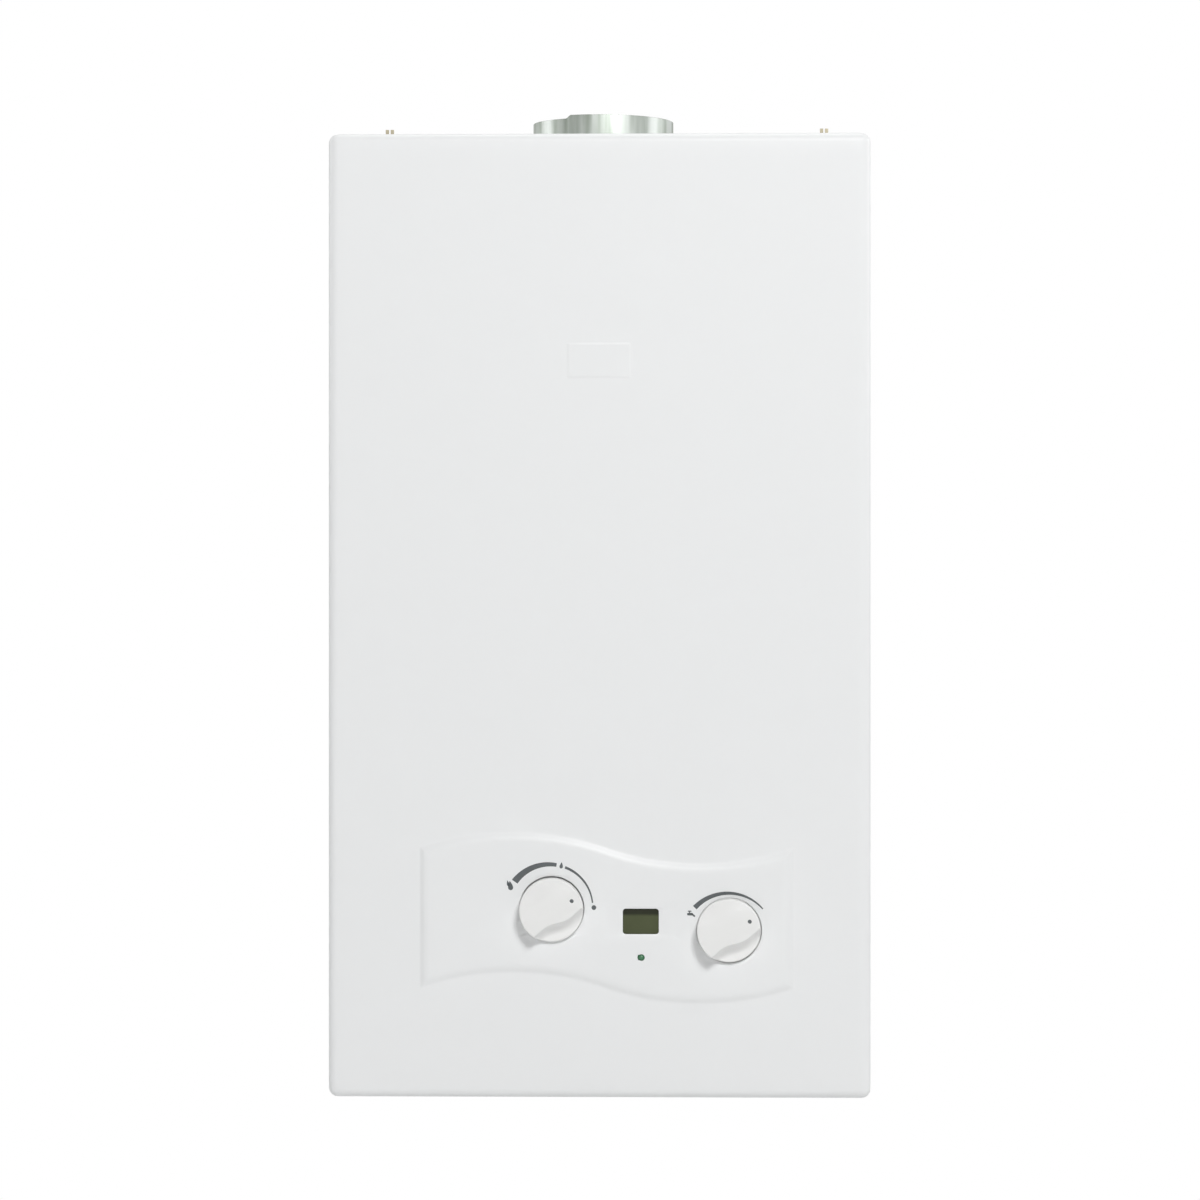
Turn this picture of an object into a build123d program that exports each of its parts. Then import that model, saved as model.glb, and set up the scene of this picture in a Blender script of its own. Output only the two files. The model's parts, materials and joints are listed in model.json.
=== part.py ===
from build123d import *
import os
from math import radians, tan

# Wall-hung instantaneous gas water heater with an open flue, as separate pieces, in millimetres.
# The wall is the plane Y = 0 and the room lies towards -Y. X runs to the viewer's right and Z up.
# The origin is on the wall, midway between the two hanging holes.

# Fits shared by many pieces
CUT_OVERRUN = 5.0
RUNNING_FIT = 0.05
SEAT_GAP = 0.3
END_RUN_SHARE = 0.9
MIDDLE_RUN_SHARE = 0.45

# Casing: the white front cover
CASE_WIDTH = 460.0
CASE_HEIGHT = 818.0
COVER_DEPTH = 244.0
COVER_STANDOFF = 6.0
COVER_GAUGE = 0.8
CASE_EDGE_RADIUS = 8.0
BOTTOM_LIP = 30.0
BOTTOM_STRIP = 22.0
FLUE_NOTCH_GAP = 6.0
VENT_COUNT = 7
VENT_LENGTH = 70.0
VENT_WIDTH = 5.0
VENT_PITCH = 14.0
VENT_DROP = 62.0

# Control panel and blank badge pad, pressed into the front cover
PANEL_WIDTH = 313.8
PANEL_HEIGHT = 116.2
PANEL_WAVE = 13.2
PANEL_X = 6.3
PANEL_RISE_FROM_BOTTOM = 94.6
PANEL_PROUD = 3.0
PRESSED_SLOPE_SHARE = 0.9
BADGE_WIDTH = 54.0
BADGE_HEIGHT = 30.0
BADGE_RISE_FROM_BOTTOM = 625.0
BADGE_PROUD = 0.6

# Back frame, hanging ears and wall spacers
FRAME_GAUGE = 1.0
FRAME_CLEARANCE = 0.4
FRAME_FLANGE = 30.0
FRAME_RIB_X = 110.0
FRAME_RIB_WIDTH = 22.0
FRAME_RIB_DEPTH = 1.0
FRAME_RIB_MARGIN = 60.0
FRAME_TAB_WIDTH = 40.0
EAR_INSET = 33.0
EAR_GAUGE = 2.0
EAR_WIDTH = 24.0
EAR_LAP = 46.0
EAR_HOLE_RADIUS = 4.5
EAR_HOLE_RISE = 14.0
EAR_RISE = 31.0
EAR_PRONG_WIDTH = 3.0
EAR_PRONG_LENGTH = 8.0
EAR_NOTCH = 1.5
EAR_SHOULDER = 8.0
SPACER_WIDTH = 28.0
SPACER_HEIGHT = 28.0
SPACER_INSET = 45.0
SPACER_RISE = 40.0
FIXING_SPACING = 240.0
FIXING_RADIUS = 4.0
FIXING_RISE = 58.0
COVER_SCREW_RADIUS = 2.0
COVER_SCREW_LENGTH = 8.0
COVER_SCREW_HEAD_RADIUS = 4.0
COVER_SCREW_HEAD = 2.4
COVER_SCREW_INSET = 12.0
COVER_SCREW_FROM_REAR = 18.0
COVER_SCREW_SLOT_GAP = 0.4

# Flue collar and draught hood
COLLAR_RADIUS = 62.0
COLLAR_GAUGE = 1.0
COLLAR_RISE = 25.0
COLLAR_FLANGE = 12.0
COLLAR_FLANGE_GAUGE = 1.2
HOOD_TOP_GAP = 22.0
HOOD_HEIGHT = 120.0
HOOD_SKIRT = 50.0
HOOD_TOP_WIDTH = 190.0
HOOD_GAUGE = 1.0
RELIEF_WIDTH = 220.0
RELIEF_HEIGHT = 18.0
RELIEF_RISE = 12.0
BAFFLE_WIDTH = 150.0
BAFFLE_GAUGE = 1.0
BAFFLE_RISE = 62.0
SPILL_STAT_X = -80.0
SPILL_STAT_RISE = 40.0
STAT_RADIUS = 9.0
STAT_DEPTH = 9.0
STAT_FLANGE_WIDTH = 34.0
STAT_FLANGE_HEIGHT = 14.0
STAT_FLANGE_GAUGE = 1.2

# Copper heat exchanger
CHAMBER_SIDE_ROOM = 79.2
CHAMBER_FRONT_ROOM = 49.2
CHAMBER_REAR_ROOM = 37.0
CHAMBER_HEIGHT = 250.0
CHAMBER_GAUGE = 1.0
FIN_COUNT = 24
FIN_GAUGE = 0.6
FIN_HEIGHT = 80.0
FIN_TOP_DROP = 6.0
FIN_TUBE_COUNT = 5
FIN_TUBE_MARGIN = 20.0
FIN_TUBE_RADIUS = 8.0
FIN_TUBE_WALL = 1.0
FIN_TUBE_STICKOUT = 14.0
COIL_RADIUS = 7.0
COIL_WALL = 1.0
COIL_START_RISE = 55.0
COIL_END_RISE = 125.0
COIL_BEND = 20.0
COIL_LEG_OUT = 35.0
EXCHANGER_BRACKET_WIDTH = 240.0
EXCHANGER_BRACKET_HEIGHT = 30.0
EXCHANGER_BRACKET_DROP = 72.0
BRACKET_GAUGE = 1.5

# Water and gas connections under the casing
CONNECTION_INSET = 40.0
GAS_CONNECTION_X = 20.0
CONNECTION_FROM_REAR = 104.0
CONNECTION_BELOW = 12.0
WATER_THREAD_RADIUS = 10.48
WATER_THREAD_LENGTH = 15.0
GAS_THREAD_RADIUS = 13.22
GAS_THREAD_LENGTH = 17.0
UNION_HEX_ACROSS = 24.0
GAS_HEX_ACROSS = 30.0
UNION_HEX = 12.0
UNION_BORE_RADIUS = 6.0
PIPE_RADIUS = 7.5
PIPE_WALL = 1.0
PIPE_BEND = 18.0
PIPE_OUT = 26.0
PIPE_JOG_SHARE = 0.32
PIPE_JOG_LENGTH = 90.0

# Burner and gas manifold
BURNER_SIDE_STEP = 10.0
BURNER_HEIGHT = 60.0
BURNER_GAUGE = 1.5
BURNER_LEDGE = 9.0
BURNER_FRONT_STRIP = 8.0
BAR_COUNT = 13
BAR_THICKNESS = 12.0
BAR_HEIGHT = 48.0
BAR_CROWN = 4.0
BAR_GAUGE = 0.8
BAR_THROAT_RADIUS = 4.0
BAR_THROAT_RISE = 12.0
BAR_PORT_WIDTH = 3.0
BAR_PORT_DEPTH = 8.0
BAR_PORT_COUNT = 9
BAR_PORT_SHARE = 0.55
MANIFOLD_SIZE = 16.0
MANIFOLD_WALL = 1.5
MANIFOLD_GAP = 20.0
INJECTOR_RADIUS = 3.5
INJECTOR_LENGTH = 9.0
INJECTOR_TIP_RADIUS = 2.0
INJECTOR_TIP = 5.0
INJECTOR_BORE_RADIUS = 0.6
FEED_PIPE_RADIUS = 7.0
FEED_PIPE_WALL = 1.0
FEED_BEND = 16.0
FEED_LOW_SHARE = 0.28
FEED_HIGH_SHARE = 0.72

# Spark and flame-sensing electrodes
ELECTRODE_X = -64.0
ELECTRODE_SPACING = 40.0
ELECTRODE_RISE = 4.0
ELECTRODE_ROD_RADIUS = 1.2
ELECTRODE_REACH = 24.0
INSULATOR_RADIUS = 4.0
INSULATOR_LENGTH = 26.0
INSULATOR_FRONT = 5.0
ELECTRODE_PLATE_MARGIN = 8.0

# Gas valve
GAS_KNOB_X = -40.0
GAS_KNOB_RISE = 160.0
VALVE_FRONT_GAP = 35.0
VALVE_DEPTH = 76.0
GAS_VALVE_WIDTH = 80.0
GAS_VALVE_HEIGHT = 84.0
GAS_VALVE_BELOW_KNOB = 45.0
GAS_VALVE_EDGE = 4.0
TAP_PLUG_RADIUS = 9.0
TAP_PLUG_LENGTH = 26.0
SPINDLE_RADIUS = 4.0
GAS_PORT_DEPTH = 14.0
PUSH_ROD_BELOW_KNOB = 22.0
SEAT_BORE_RADIUS = 12.0
SEAT_WALL = 3.0
VALVE_DISC_RADIUS = 10.0
VALVE_DISC_THICKNESS = 3.0
VALVE_TRAVEL = 4.0
SPRING_WIRE_RADIUS = 0.7
SPRING_RADIUS = 6.0
SPRING_TURNS = 6
SPRING_LENGTH = 24.0
SOLENOID_RADIUS = 14.0
SOLENOID_LENGTH = 36.0
SOLENOID_BORE_RADIUS = 5.0
PLUNGER_LENGTH = 20.0
PLUNGER_TRAVEL = 3.0

# Water valve
WATER_KNOB_X = 110.0
WATER_KNOB_RISE = 143.0
WATER_BLOCK_WIDTH = 60.0
WATER_BLOCK_HEIGHT = 72.0
WATER_BLOCK_BELOW_KNOB = 34.0
WATER_BLOCK_WALL = 7.5
DIAPHRAGM_RADIUS = 36.0
DIAPHRAGM_THICKNESS = 1.6
FLANGE_THICKNESS = 12.0
WATER_CAVITY_RADIUS = 26.0
WATER_CAVITY_GAP = 3.0
PLATE_RADIUS = 21.0
PLATE_THICKNESS = 2.0
PUSH_ROD_RADIUS = 2.5
PUSH_ROD_COLLAR_RADIUS = 6.0
PUSH_ROD_COLLAR = 3.0
FLANGE_SCREW_COUNT = 6
FLANGE_SCREW_RADIUS = 2.0
FLANGE_SCREW_HEAD_RADIUS = 3.5
FLANGE_SCREW_HEAD = 3.0
SELECTOR_LENGTH = 24.0
SELECTOR_RADIUS = 6.0
DRAIN_RADIUS = 6.0
DRAIN_LENGTH = 8.0
DRAIN_HEAD_RADIUS = 8.0
DRAIN_HEAD = 5.0
WATER_PORT_DEPTH = 12.0

# Flow switch beside the push rod
SWITCH_WIDTH = 28.0
SWITCH_DEPTH = 10.0
SWITCH_HEIGHT = 16.0
SWITCH_PIVOT_DROP = 3.0
SWITCH_GAP = 4.0
LEVER_GAUGE = 0.8
LEVER_LAP = 2.6
LEVER_DEPTH = 6.0
LEVER_PIVOT_RADIUS = 1.2
LEVER_EYE_RADIUS = 2.2
SWITCH_ARM_GAUGE = 1.2

# Brackets that carry the valves and the display
FASCIA_GAUGE = 1.5
FASCIA_HEIGHT = 56.0
FASCIA_BELOW = 34.0
FASCIA_HOLE_GAP = 3.0
VALVE_SHELF_RISE = 138.0
VALVE_SHELF_FLANGE = 28.0

# Display and indicator lamp
DISPLAY_X = 36.0
DISPLAY_RISE = 150.0
DISPLAY_WINDOW_WIDTH = 31.5
DISPLAY_WINDOW_HEIGHT = 22.5
DISPLAY_MARGIN = 3.0
DISPLAY_GLASS = 1.6
DISPLAY_GAP = 0.6
RECESS_WIDTH = 70.0
RECESS_HEIGHT = 34.0
RECESS_DEPTH = 1.2
HOUSING_WIDTH = 56.0
HOUSING_ABOVE = 20.0
HOUSING_WALL = 2.0
HOUSING_FOOT = 4.0
LAMP_DROP = 30.5
LAMP_RADIUS = 2.5
LAMP_HOLE_GAP = 0.4
LAMP_PROUD = 0.8
LAMP_COLLAR_RADIUS = 3.4
LAMP_COLLAR = 1.2
LAMP_DOME_SHARE = 0.9

# Knobs
KNOB_RADIUS = 27.0
KNOB_GAP = 1.6
KNOB_BASE = 5.0
KNOB_GRIP = 11.0
KNOB_SKIRT = 8.0
KNOB_WALL = 2.0
KNOB_HUB_RADIUS = 7.0
KNOB_SOCKET = 12.0
KNOB_TILT_DEGREES = 25.0
KNOB_GRIP_WAIST_SHARE = 0.44
KNOB_GRIP_TAIL_SHARE = 0.62
KNOB_GRIP_NOSE_SHARE = 0.30
KNOB_EDGE_RADIUS = 1.5

# Battery box
CELL_RADIUS = 16.5
CELL_LENGTH = 61.0
CELL_COUNT = 2
CELL_CAP_RADIUS = 4.5
CELL_CAP = 1.5
BATTERY_WALL = 2.0
BATTERY_FIT = 0.6
BATTERY_X = -106.0
BATTERY_RISE = 6.0
BATTERY_FROM_LIP = 8.0
BATTERY_HINGE_RADIUS = 1.5
BATTERY_HINGE_EYE = 3.0
BATTERY_LID = 2.0
BATTERY_STRAP_WIDTH = 60.0
BATTERY_STRAP_FLANGE = 22.0

# Ignition unit and the leads
UNIT_WIDTH = 90.0
UNIT_HEIGHT = 100.0
UNIT_DEPTH = 34.0
UNIT_INSET = 20.0
UNIT_DROP = 60.0
UNIT_EDGE = 3.0
LEAD_RADIUS = 1.5
SPARK_LEAD_RADIUS = 2.2
LEAD_BEND = 30.0
LEAD_GAP = 3.0
LEAD_SPACING = 7.0
LEAD_TAIL = 30.0
OVERHEAT_STAT_DROP = 110.0
CLIP_GAUGE = 1.0
CLIP_HEIGHT = 12.0
CLIP_STAT_RADIUS = 5.0

# Places worked out from the sizes above
half_width = CASE_WIDTH / 2
ear_x = half_width - EAR_INSET
connection_x = half_width - CONNECTION_INSET
case_top = -EAR_HOLE_RISE
case_bottom = case_top - CASE_HEIGHT
cover_rear = -COVER_STANDOFF
case_front = cover_rear - COVER_DEPTH
case_inside = case_front + COVER_GAUGE
panel_front = case_front - PANEL_PROUD
panel_inside = panel_front + COVER_GAUGE
recess_inside = panel_inside + RECESS_DEPTH

frame_rear = -EAR_GAUGE
frame_face = frame_rear - FRAME_GAUGE
frame_half = half_width - COVER_GAUGE - FRAME_CLEARANCE
frame_top = case_top - COVER_GAUGE - FRAME_CLEARANCE
frame_bottom = case_bottom + COVER_GAUGE + FRAME_CLEARANCE
frame_corner = CASE_EDGE_RADIUS - COVER_GAUGE - FRAME_CLEARANCE

hood_top = case_top - HOOD_TOP_GAP
hood_bottom = hood_top - HOOD_HEIGHT
chamber_top = hood_bottom
chamber_bottom = chamber_top - CHAMBER_HEIGHT
chamber_front = case_inside + CHAMBER_FRONT_ROOM
chamber_rear = frame_face - CHAMBER_REAR_ROOM
chamber_side = half_width - COVER_GAUGE - CHAMBER_SIDE_ROOM
flue_y = (chamber_front + chamber_rear) / 2
chamber_corner = COIL_BEND - COIL_RADIUS - SEAT_GAP
fin_middle = chamber_top - FIN_TOP_DROP - FIN_HEIGHT / 2
tube_end = chamber_side + FIN_TUBE_STICKOUT
tube_pitch = (chamber_rear - chamber_front - 2 * FIN_TUBE_MARGIN) / (FIN_TUBE_COUNT - 1)
tube_places = [chamber_rear - FIN_TUBE_MARGIN - i * tube_pitch for i in range(FIN_TUBE_COUNT)]

burner_bottom = chamber_bottom - BURNER_HEIGHT
bar_bottom = burner_bottom + BURNER_GAUGE
bar_top = bar_bottom + BAR_HEIGHT
burner_half = chamber_side - BURNER_SIDE_STEP
bar_pitch = 2 * (burner_half - BURNER_GAUGE) / BAR_COUNT
bar_places = [(i - (BAR_COUNT - 1) / 2) * bar_pitch for i in range(BAR_COUNT)]
throat_z = bar_bottom + BAR_THROAT_RISE
manifold_rear = chamber_front - MANIFOLD_GAP
manifold_front = manifold_rear - MANIFOLD_SIZE
manifold_y = (manifold_front + manifold_rear) / 2
manifold_low = throat_z - MANIFOLD_SIZE / 2
manifold_high = throat_z + MANIFOLD_SIZE / 2

valve_front = case_front + VALVE_FRONT_GAP
valve_rear = valve_front + VALVE_DEPTH
valve_y = (valve_front + valve_rear) / 2
gas_knob_z = case_bottom + GAS_KNOB_RISE
gas_left = GAS_KNOB_X - GAS_VALVE_WIDTH / 2
gas_right = GAS_KNOB_X + GAS_VALVE_WIDTH / 2
gas_low = gas_knob_z - GAS_VALVE_BELOW_KNOB
gas_high = gas_low + GAS_VALVE_HEIGHT
push_z = gas_knob_z - PUSH_ROD_BELOW_KNOB
disc_right = gas_right - SEAT_WALL - RUNNING_FIT
disc_left = disc_right - VALVE_DISC_THICKNESS
solenoid_z = (gas_low + gas_high) / 2

water_knob_z = case_bottom + WATER_KNOB_RISE
water_left = WATER_KNOB_X - WATER_BLOCK_WIDTH / 2
water_right = WATER_KNOB_X + WATER_BLOCK_WIDTH / 2
water_low = water_knob_z - WATER_BLOCK_BELOW_KNOB
water_high = water_low + WATER_BLOCK_HEIGHT
flange_face = water_left - FLANGE_THICKNESS
diaphragm_face = flange_face - DIAPHRAGM_THICKNESS
water_cover_end = diaphragm_face - FLANGE_THICKNESS
plate_end = diaphragm_face - PLATE_THICKNESS
water_cavity = PLATE_THICKNESS + VALVE_TRAVEL + WATER_CAVITY_GAP
water_outlet_x = WATER_KNOB_X + WATER_BLOCK_WIDTH / 4
cold_inlet_z = water_low + WATER_BLOCK_HEIGHT / 4
collar_left = (gas_right + water_cover_end) / 2
switch_low = push_z + PUSH_ROD_COLLAR_RADIUS + SWITCH_GAP
lever_x = collar_left - SEAT_GAP - LEVER_GAUGE
pivot_z = switch_low + SWITCH_PIVOT_DROP

display_z = case_bottom + DISPLAY_RISE
glass_front = recess_inside + DISPLAY_GAP
fascia_front = valve_front - FASCIA_GAUGE
fascia_low = min(gas_knob_z, water_knob_z) - FASCIA_BELOW
fascia_high = fascia_low + FASCIA_HEIGHT
housing_x = (DISPLAY_X - HOUSING_WIDTH / 2, DISPLAY_X + HOUSING_WIDTH / 2)
glass_width = DISPLAY_WINDOW_WIDTH + 2 * DISPLAY_MARGIN
glass_height = DISPLAY_WINDOW_HEIGHT + 2 * DISPLAY_MARGIN
housing_low = display_z - LAMP_DROP - LAMP_COLLAR_RADIUS - HOUSING_WALL
housing_high = display_z + HOUSING_ABOVE
lamp_z = display_z - LAMP_DROP

knob_floor = panel_front - KNOB_BASE
knob_rear = panel_front + KNOB_SKIRT
socket_end = knob_rear - KNOB_SOCKET

connection_y = cover_rear - CONNECTION_FROM_REAR
connection_end = case_bottom - CONNECTION_BELOW
water_seat = connection_end + WATER_THREAD_LENGTH + UNION_HEX
gas_seat = connection_end + GAS_THREAD_LENGTH + UNION_HEX

cell_room = CELL_RADIUS + BATTERY_FIT
battery_length = CELL_COUNT * (CELL_LENGTH + CELL_CAP) + 2 * BATTERY_FIT
battery_half = battery_length / 2 + BATTERY_WALL
battery_x = (BATTERY_X - battery_half, BATTERY_X + battery_half)
battery_front = case_front + BOTTOM_LIP + BATTERY_FROM_LIP
battery_rear = battery_front + 2 * (cell_room + BATTERY_WALL)
battery_y = (battery_front + battery_rear) / 2
battery_low = case_bottom + BATTERY_RISE
battery_high = battery_low + 2 * cell_room + BATTERY_WALL
hinge_y = battery_rear + BATTERY_HINGE_EYE + SEAT_GAP
hinge_z = battery_low - BATTERY_LID / 2

unit_high = burner_bottom - UNIT_DROP
unit_low = unit_high - UNIT_HEIGHT
unit_front = frame_face - UNIT_DEPTH
unit_left = -half_width + UNIT_INSET
unit_right = unit_left + UNIT_WIDTH
unit_y = (unit_front + frame_face) / 2
hot_pipe_x = -tube_end - PIPE_OUT
hot_pipe_y = tube_places[-1]
overheat_z = fin_middle - OVERHEAT_STAT_DROP
spill_z = hood_bottom + SPILL_STAT_RISE
electrode_z = bar_top + ELECTRODE_RISE + INSULATOR_RADIUS
electrode_places = (ELECTRODE_X, ELECTRODE_X + ELECTRODE_SPACING)
insulator_front = manifold_y - INSULATOR_FRONT
insulator_rear = insulator_front + INSULATOR_LENGTH
cover_screw_places = (-half_width + COVER_SCREW_INSET, half_width - COVER_SCREW_INSET)
cover_screw_y = cover_rear - COVER_SCREW_FROM_REAR


def box(x, y, z):
    """A box between the low and high values given for each axis."""
    low, high = zip(x, y, z)
    sizes = [b - a for a, b in zip(low, high)]
    return Pos(*low) * Box(*sizes, align=(Align.MIN, Align.MIN, Align.MIN))


def span(middle, size):
    """The low and high value of a size about its middle."""
    return (middle - size / 2, middle + size / 2)


def rod(start, end, radius):
    """A round bar from one point to another."""
    axis = Vector(*end) - Vector(*start)
    bar = Cylinder(radius, axis.length, align=(Align.CENTER, Align.CENTER, Align.MIN))
    return Plane(origin=start, z_dir=axis) * bar


def rod_x(x, y, z, radius):
    """A round bar along X between two values of x."""
    return rod((x[0], y, z), (x[1], y, z), radius)


def rod_y(x, y, z, radius):
    """A round bar along Y between two values of y."""
    return rod((x, y[0], z), (x, y[1], z), radius)


def rod_z(x, y, z, radius):
    """A round bar along Z between two values of z."""
    return rod((x, y, z[0]), (x, y, z[1]), radius)


def hexagon(start, end, across):
    """A hexagon bar from one point to another, measured across its flats."""
    axis = Vector(*end) - Vector(*start)
    flat = RegularPolygon(across / 2, 6, major_radius=False)
    return extrude(Plane(origin=start, z_dir=axis) * flat, axis.length)


def bent_path(points, bend):
    """A path with an arc at each corner, of the bend radius or what the runs leave room for."""
    runs = [Vector(*b) - Vector(*a) for a, b in zip(points, points[1:])]
    shares = [END_RUN_SHARE] + [MIDDLE_RUN_SHARE] * (len(runs) - 2) + [END_RUN_SHARE]
    room = [run.length * share for run, share in zip(runs, shares)]
    radii = []
    for i in range(len(runs) - 1):
        turn = radians(runs[i].get_angle(runs[i + 1]))
        radii.append(min(bend, min(room[i], room[i + 1]) / tan(turn / 2)))
    return FilletPolyline(*points, radius=radii)


def pipe(points, bend, outer, wall):
    """A bent tube through the points."""
    path = bent_path(points, bend)
    section = Circle(outer) - Circle(outer - wall)
    return sweep(Plane(origin=path @ 0, z_dir=path % 0) * section, path=path)


def lead(points, radius):
    """A round insulated wire through the points, laid in wide bends."""
    path = bent_path(points, LEAD_BEND)
    return sweep(Plane(origin=path @ 0, z_dir=path % 0) * Circle(radius), path=path)


def facing(y):
    """A sketch plane seen from the room: X to the right and Z up, at that depth."""
    return Plane(origin=(0, y, 0), x_dir=(1, 0, 0), z_dir=(0, -1, 0))


def mirrored_outline(right):
    """A face from the points of its right half, which are mirrored to the left."""
    left = [(-x, z) for x, z in reversed(right)]
    return make_face(Polyline(*right, *left, close=True))


def pair(make, x):
    """The same piece on both sides of the middle, as two separate solids."""
    return Compound([make(-x), make(x)])


# Casing

def cover_block(inset, rear):
    """The cover's rounded block, drawn in by the inset on every side but the rear."""
    block = box((-half_width + inset, half_width - inset), (case_front + inset, rear),
                (case_bottom + inset, case_top - inset))
    rounded = [edge for edge in block.edges() if edge.center().Y < cover_rear - CASE_EDGE_RADIUS]
    return fillet(rounded, CASE_EDGE_RADIUS - inset)


def panel_face():
    """The control panel's outline: two upright ends and two edges that follow one full wave."""
    left, right = span(PANEL_X, PANEL_WIDTH)
    low = case_bottom + PANEL_RISE_FROM_BOTTOM
    high = low + PANEL_HEIGHT
    crest, trough = span(PANEL_X, PANEL_WIDTH / 2)
    outline = [Line((left, low), (left, high)), Line((right, low), (right, high))]
    for z in (low, high):
        outline.append(ThreePointArc((left, z), (crest, z + PANEL_WAVE), (PANEL_X, z)))
        outline.append(ThreePointArc((PANEL_X, z), (trough, z - PANEL_WAVE), (right, z)))
    return make_face(outline)


def badge_face():
    """The outline of the blank badge pad."""
    return Pos(0, case_bottom + BADGE_RISE_FROM_BOTTOM) * Rectangle(BADGE_WIDTH, BADGE_HEIGHT)


def pressed(face, proud, y):
    """A pressing that stands out of the sheet towards the room, with sloping sides."""
    pressing = extrude(facing(y) * face, proud)
    return chamfer(pressing.edges().group_by(Axis.Y)[0], proud * PRESSED_SLOPE_SHARE)


def through_front(x, z, radius):
    """A round hole through the control panel."""
    return rod_y(x, (panel_front - CUT_OVERRUN, case_inside + CUT_OVERRUN), z, radius)


def front_cover():
    """A pressed steel cover, open at the back, that hangs on the frame."""
    outside = cover_block(0, cover_rear)
    inside = cover_block(COVER_GAUGE, cover_rear + CUT_OVERRUN)
    for face, proud in ((panel_face(), PANEL_PROUD), (badge_face(), BADGE_PROUD)):
        outside += pressed(face, proud, case_front)
        inside += pressed(face, proud, case_inside)
    recess = (span(DISPLAY_X, RECESS_WIDTH), span(display_z, RECESS_HEIGHT))
    recess_back = [(low - COVER_GAUGE, high + COVER_GAUGE) for low, high in recess]
    outside -= box(recess[0], (panel_front - CUT_OVERRUN, panel_front + RECESS_DEPTH), recess[1])
    inside -= box(recess_back[0], (panel_front, recess_inside), recess_back[1])
    cover = outside - inside
    for x, z in ((GAS_KNOB_X, gas_knob_z), (WATER_KNOB_X, water_knob_z)):
        cover -= through_front(x, z, KNOB_RADIUS + KNOB_GAP)
    cover -= through_front(DISPLAY_X, lamp_z, LAMP_RADIUS + LAMP_HOLE_GAP)
    cover -= box(span(DISPLAY_X, DISPLAY_WINDOW_WIDTH), (panel_front, case_inside),
                 span(display_z, DISPLAY_WINDOW_HEIGHT))
    return cover - cover_openings()


def cover_openings():
    """What is cut out of the cover's top, bottom and sides."""
    notch = COLLAR_RADIUS + FLUE_NOTCH_GAP
    top = (case_top - COVER_GAUGE - CUT_OVERRUN, case_top + CUT_OVERRUN)
    bottom = (case_bottom - CUT_OVERRUN, case_bottom + COVER_GAUGE + CUT_OVERRUN)
    rear = cover_rear + CUT_OVERRUN
    opening = half_width - BOTTOM_STRIP
    cuts = [
        rod_z(0, flue_y, top, notch),
        box((-notch, notch), (flue_y, rear), top),
        box((-opening, opening), (case_front + BOTTOM_LIP, rear), bottom),
    ]
    slot = COVER_SCREW_RADIUS + COVER_SCREW_SLOT_GAP
    for x in cover_screw_places:
        cuts.append(box(span(x, 2 * slot), (cover_screw_y - slot, rear), bottom))
    across = (-half_width - CUT_OVERRUN, half_width + CUT_OVERRUN)
    for i in range(VENT_COUNT):
        z = case_top - VENT_DROP - i * VENT_PITCH
        cuts.append(box(across, span(flue_y, VENT_LENGTH), span(z, VENT_WIDTH)))
    return Compound(cuts)


def cover_screws():
    """Two pan-head screws from below, through the cover's slots into the frame's tabs."""
    head = (case_bottom - COVER_SCREW_HEAD, case_bottom)
    shank = (case_bottom, case_bottom + COVER_SCREW_LENGTH)
    return Compound([rod_z(x, cover_screw_y, head, COVER_SCREW_HEAD_RADIUS)
                     + rod_z(x, cover_screw_y, shank, COVER_SCREW_RADIUS) for x in cover_screw_places])


# Back frame

def frame_profile(inset):
    """The frame's outline from the front, with its corners rounded to fit inside the cover."""
    height = frame_top - frame_bottom
    outline = RectangleRounded(2 * (frame_half - inset), height - 2 * inset, frame_corner - inset)
    return Pos(0, (frame_top + frame_bottom) / 2) * outline


def back_frame():
    """A galvanised back plate with bent flanges, pressed ribs and two tabs for the cover's screws."""
    frame = extrude(facing(frame_rear) * frame_profile(0), FRAME_GAUGE)
    frame += extrude(facing(frame_face) * (frame_profile(0) - frame_profile(FRAME_GAUGE)), FRAME_FLANGE)
    between_tabs = frame_half - FRAME_TAB_WIDTH
    frame -= box((-between_tabs, between_tabs), (frame_face - FRAME_FLANGE, frame_face),
                 (frame_bottom, frame_bottom + FRAME_GAUGE))
    rib = (frame_bottom + FRAME_RIB_MARGIN, frame_top - FRAME_RIB_MARGIN)
    for side in (-1, 1):
        x = side * FRAME_RIB_X
        frame += box(span(x, FRAME_RIB_WIDTH), (frame_rear, frame_rear + FRAME_RIB_DEPTH), rib)
        frame -= box(span(x, FRAME_RIB_WIDTH - 2 * FRAME_GAUGE),
                     (frame_face - CUT_OVERRUN, frame_face + FRAME_RIB_DEPTH),
                     (rib[0] + FRAME_GAUGE, rib[1] - FRAME_GAUGE))
        frame -= rod_y(side * FIXING_SPACING / 2, (frame_face - CUT_OVERRUN, 0), case_bottom + FIXING_RISE,
                       FIXING_RADIUS)
    for x in cover_screw_places:
        frame -= rod_z(x, cover_screw_y, (case_bottom, frame_bottom + CUT_OVERRUN),
                       COVER_SCREW_RADIUS + RUNNING_FIT)
    return frame


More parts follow.
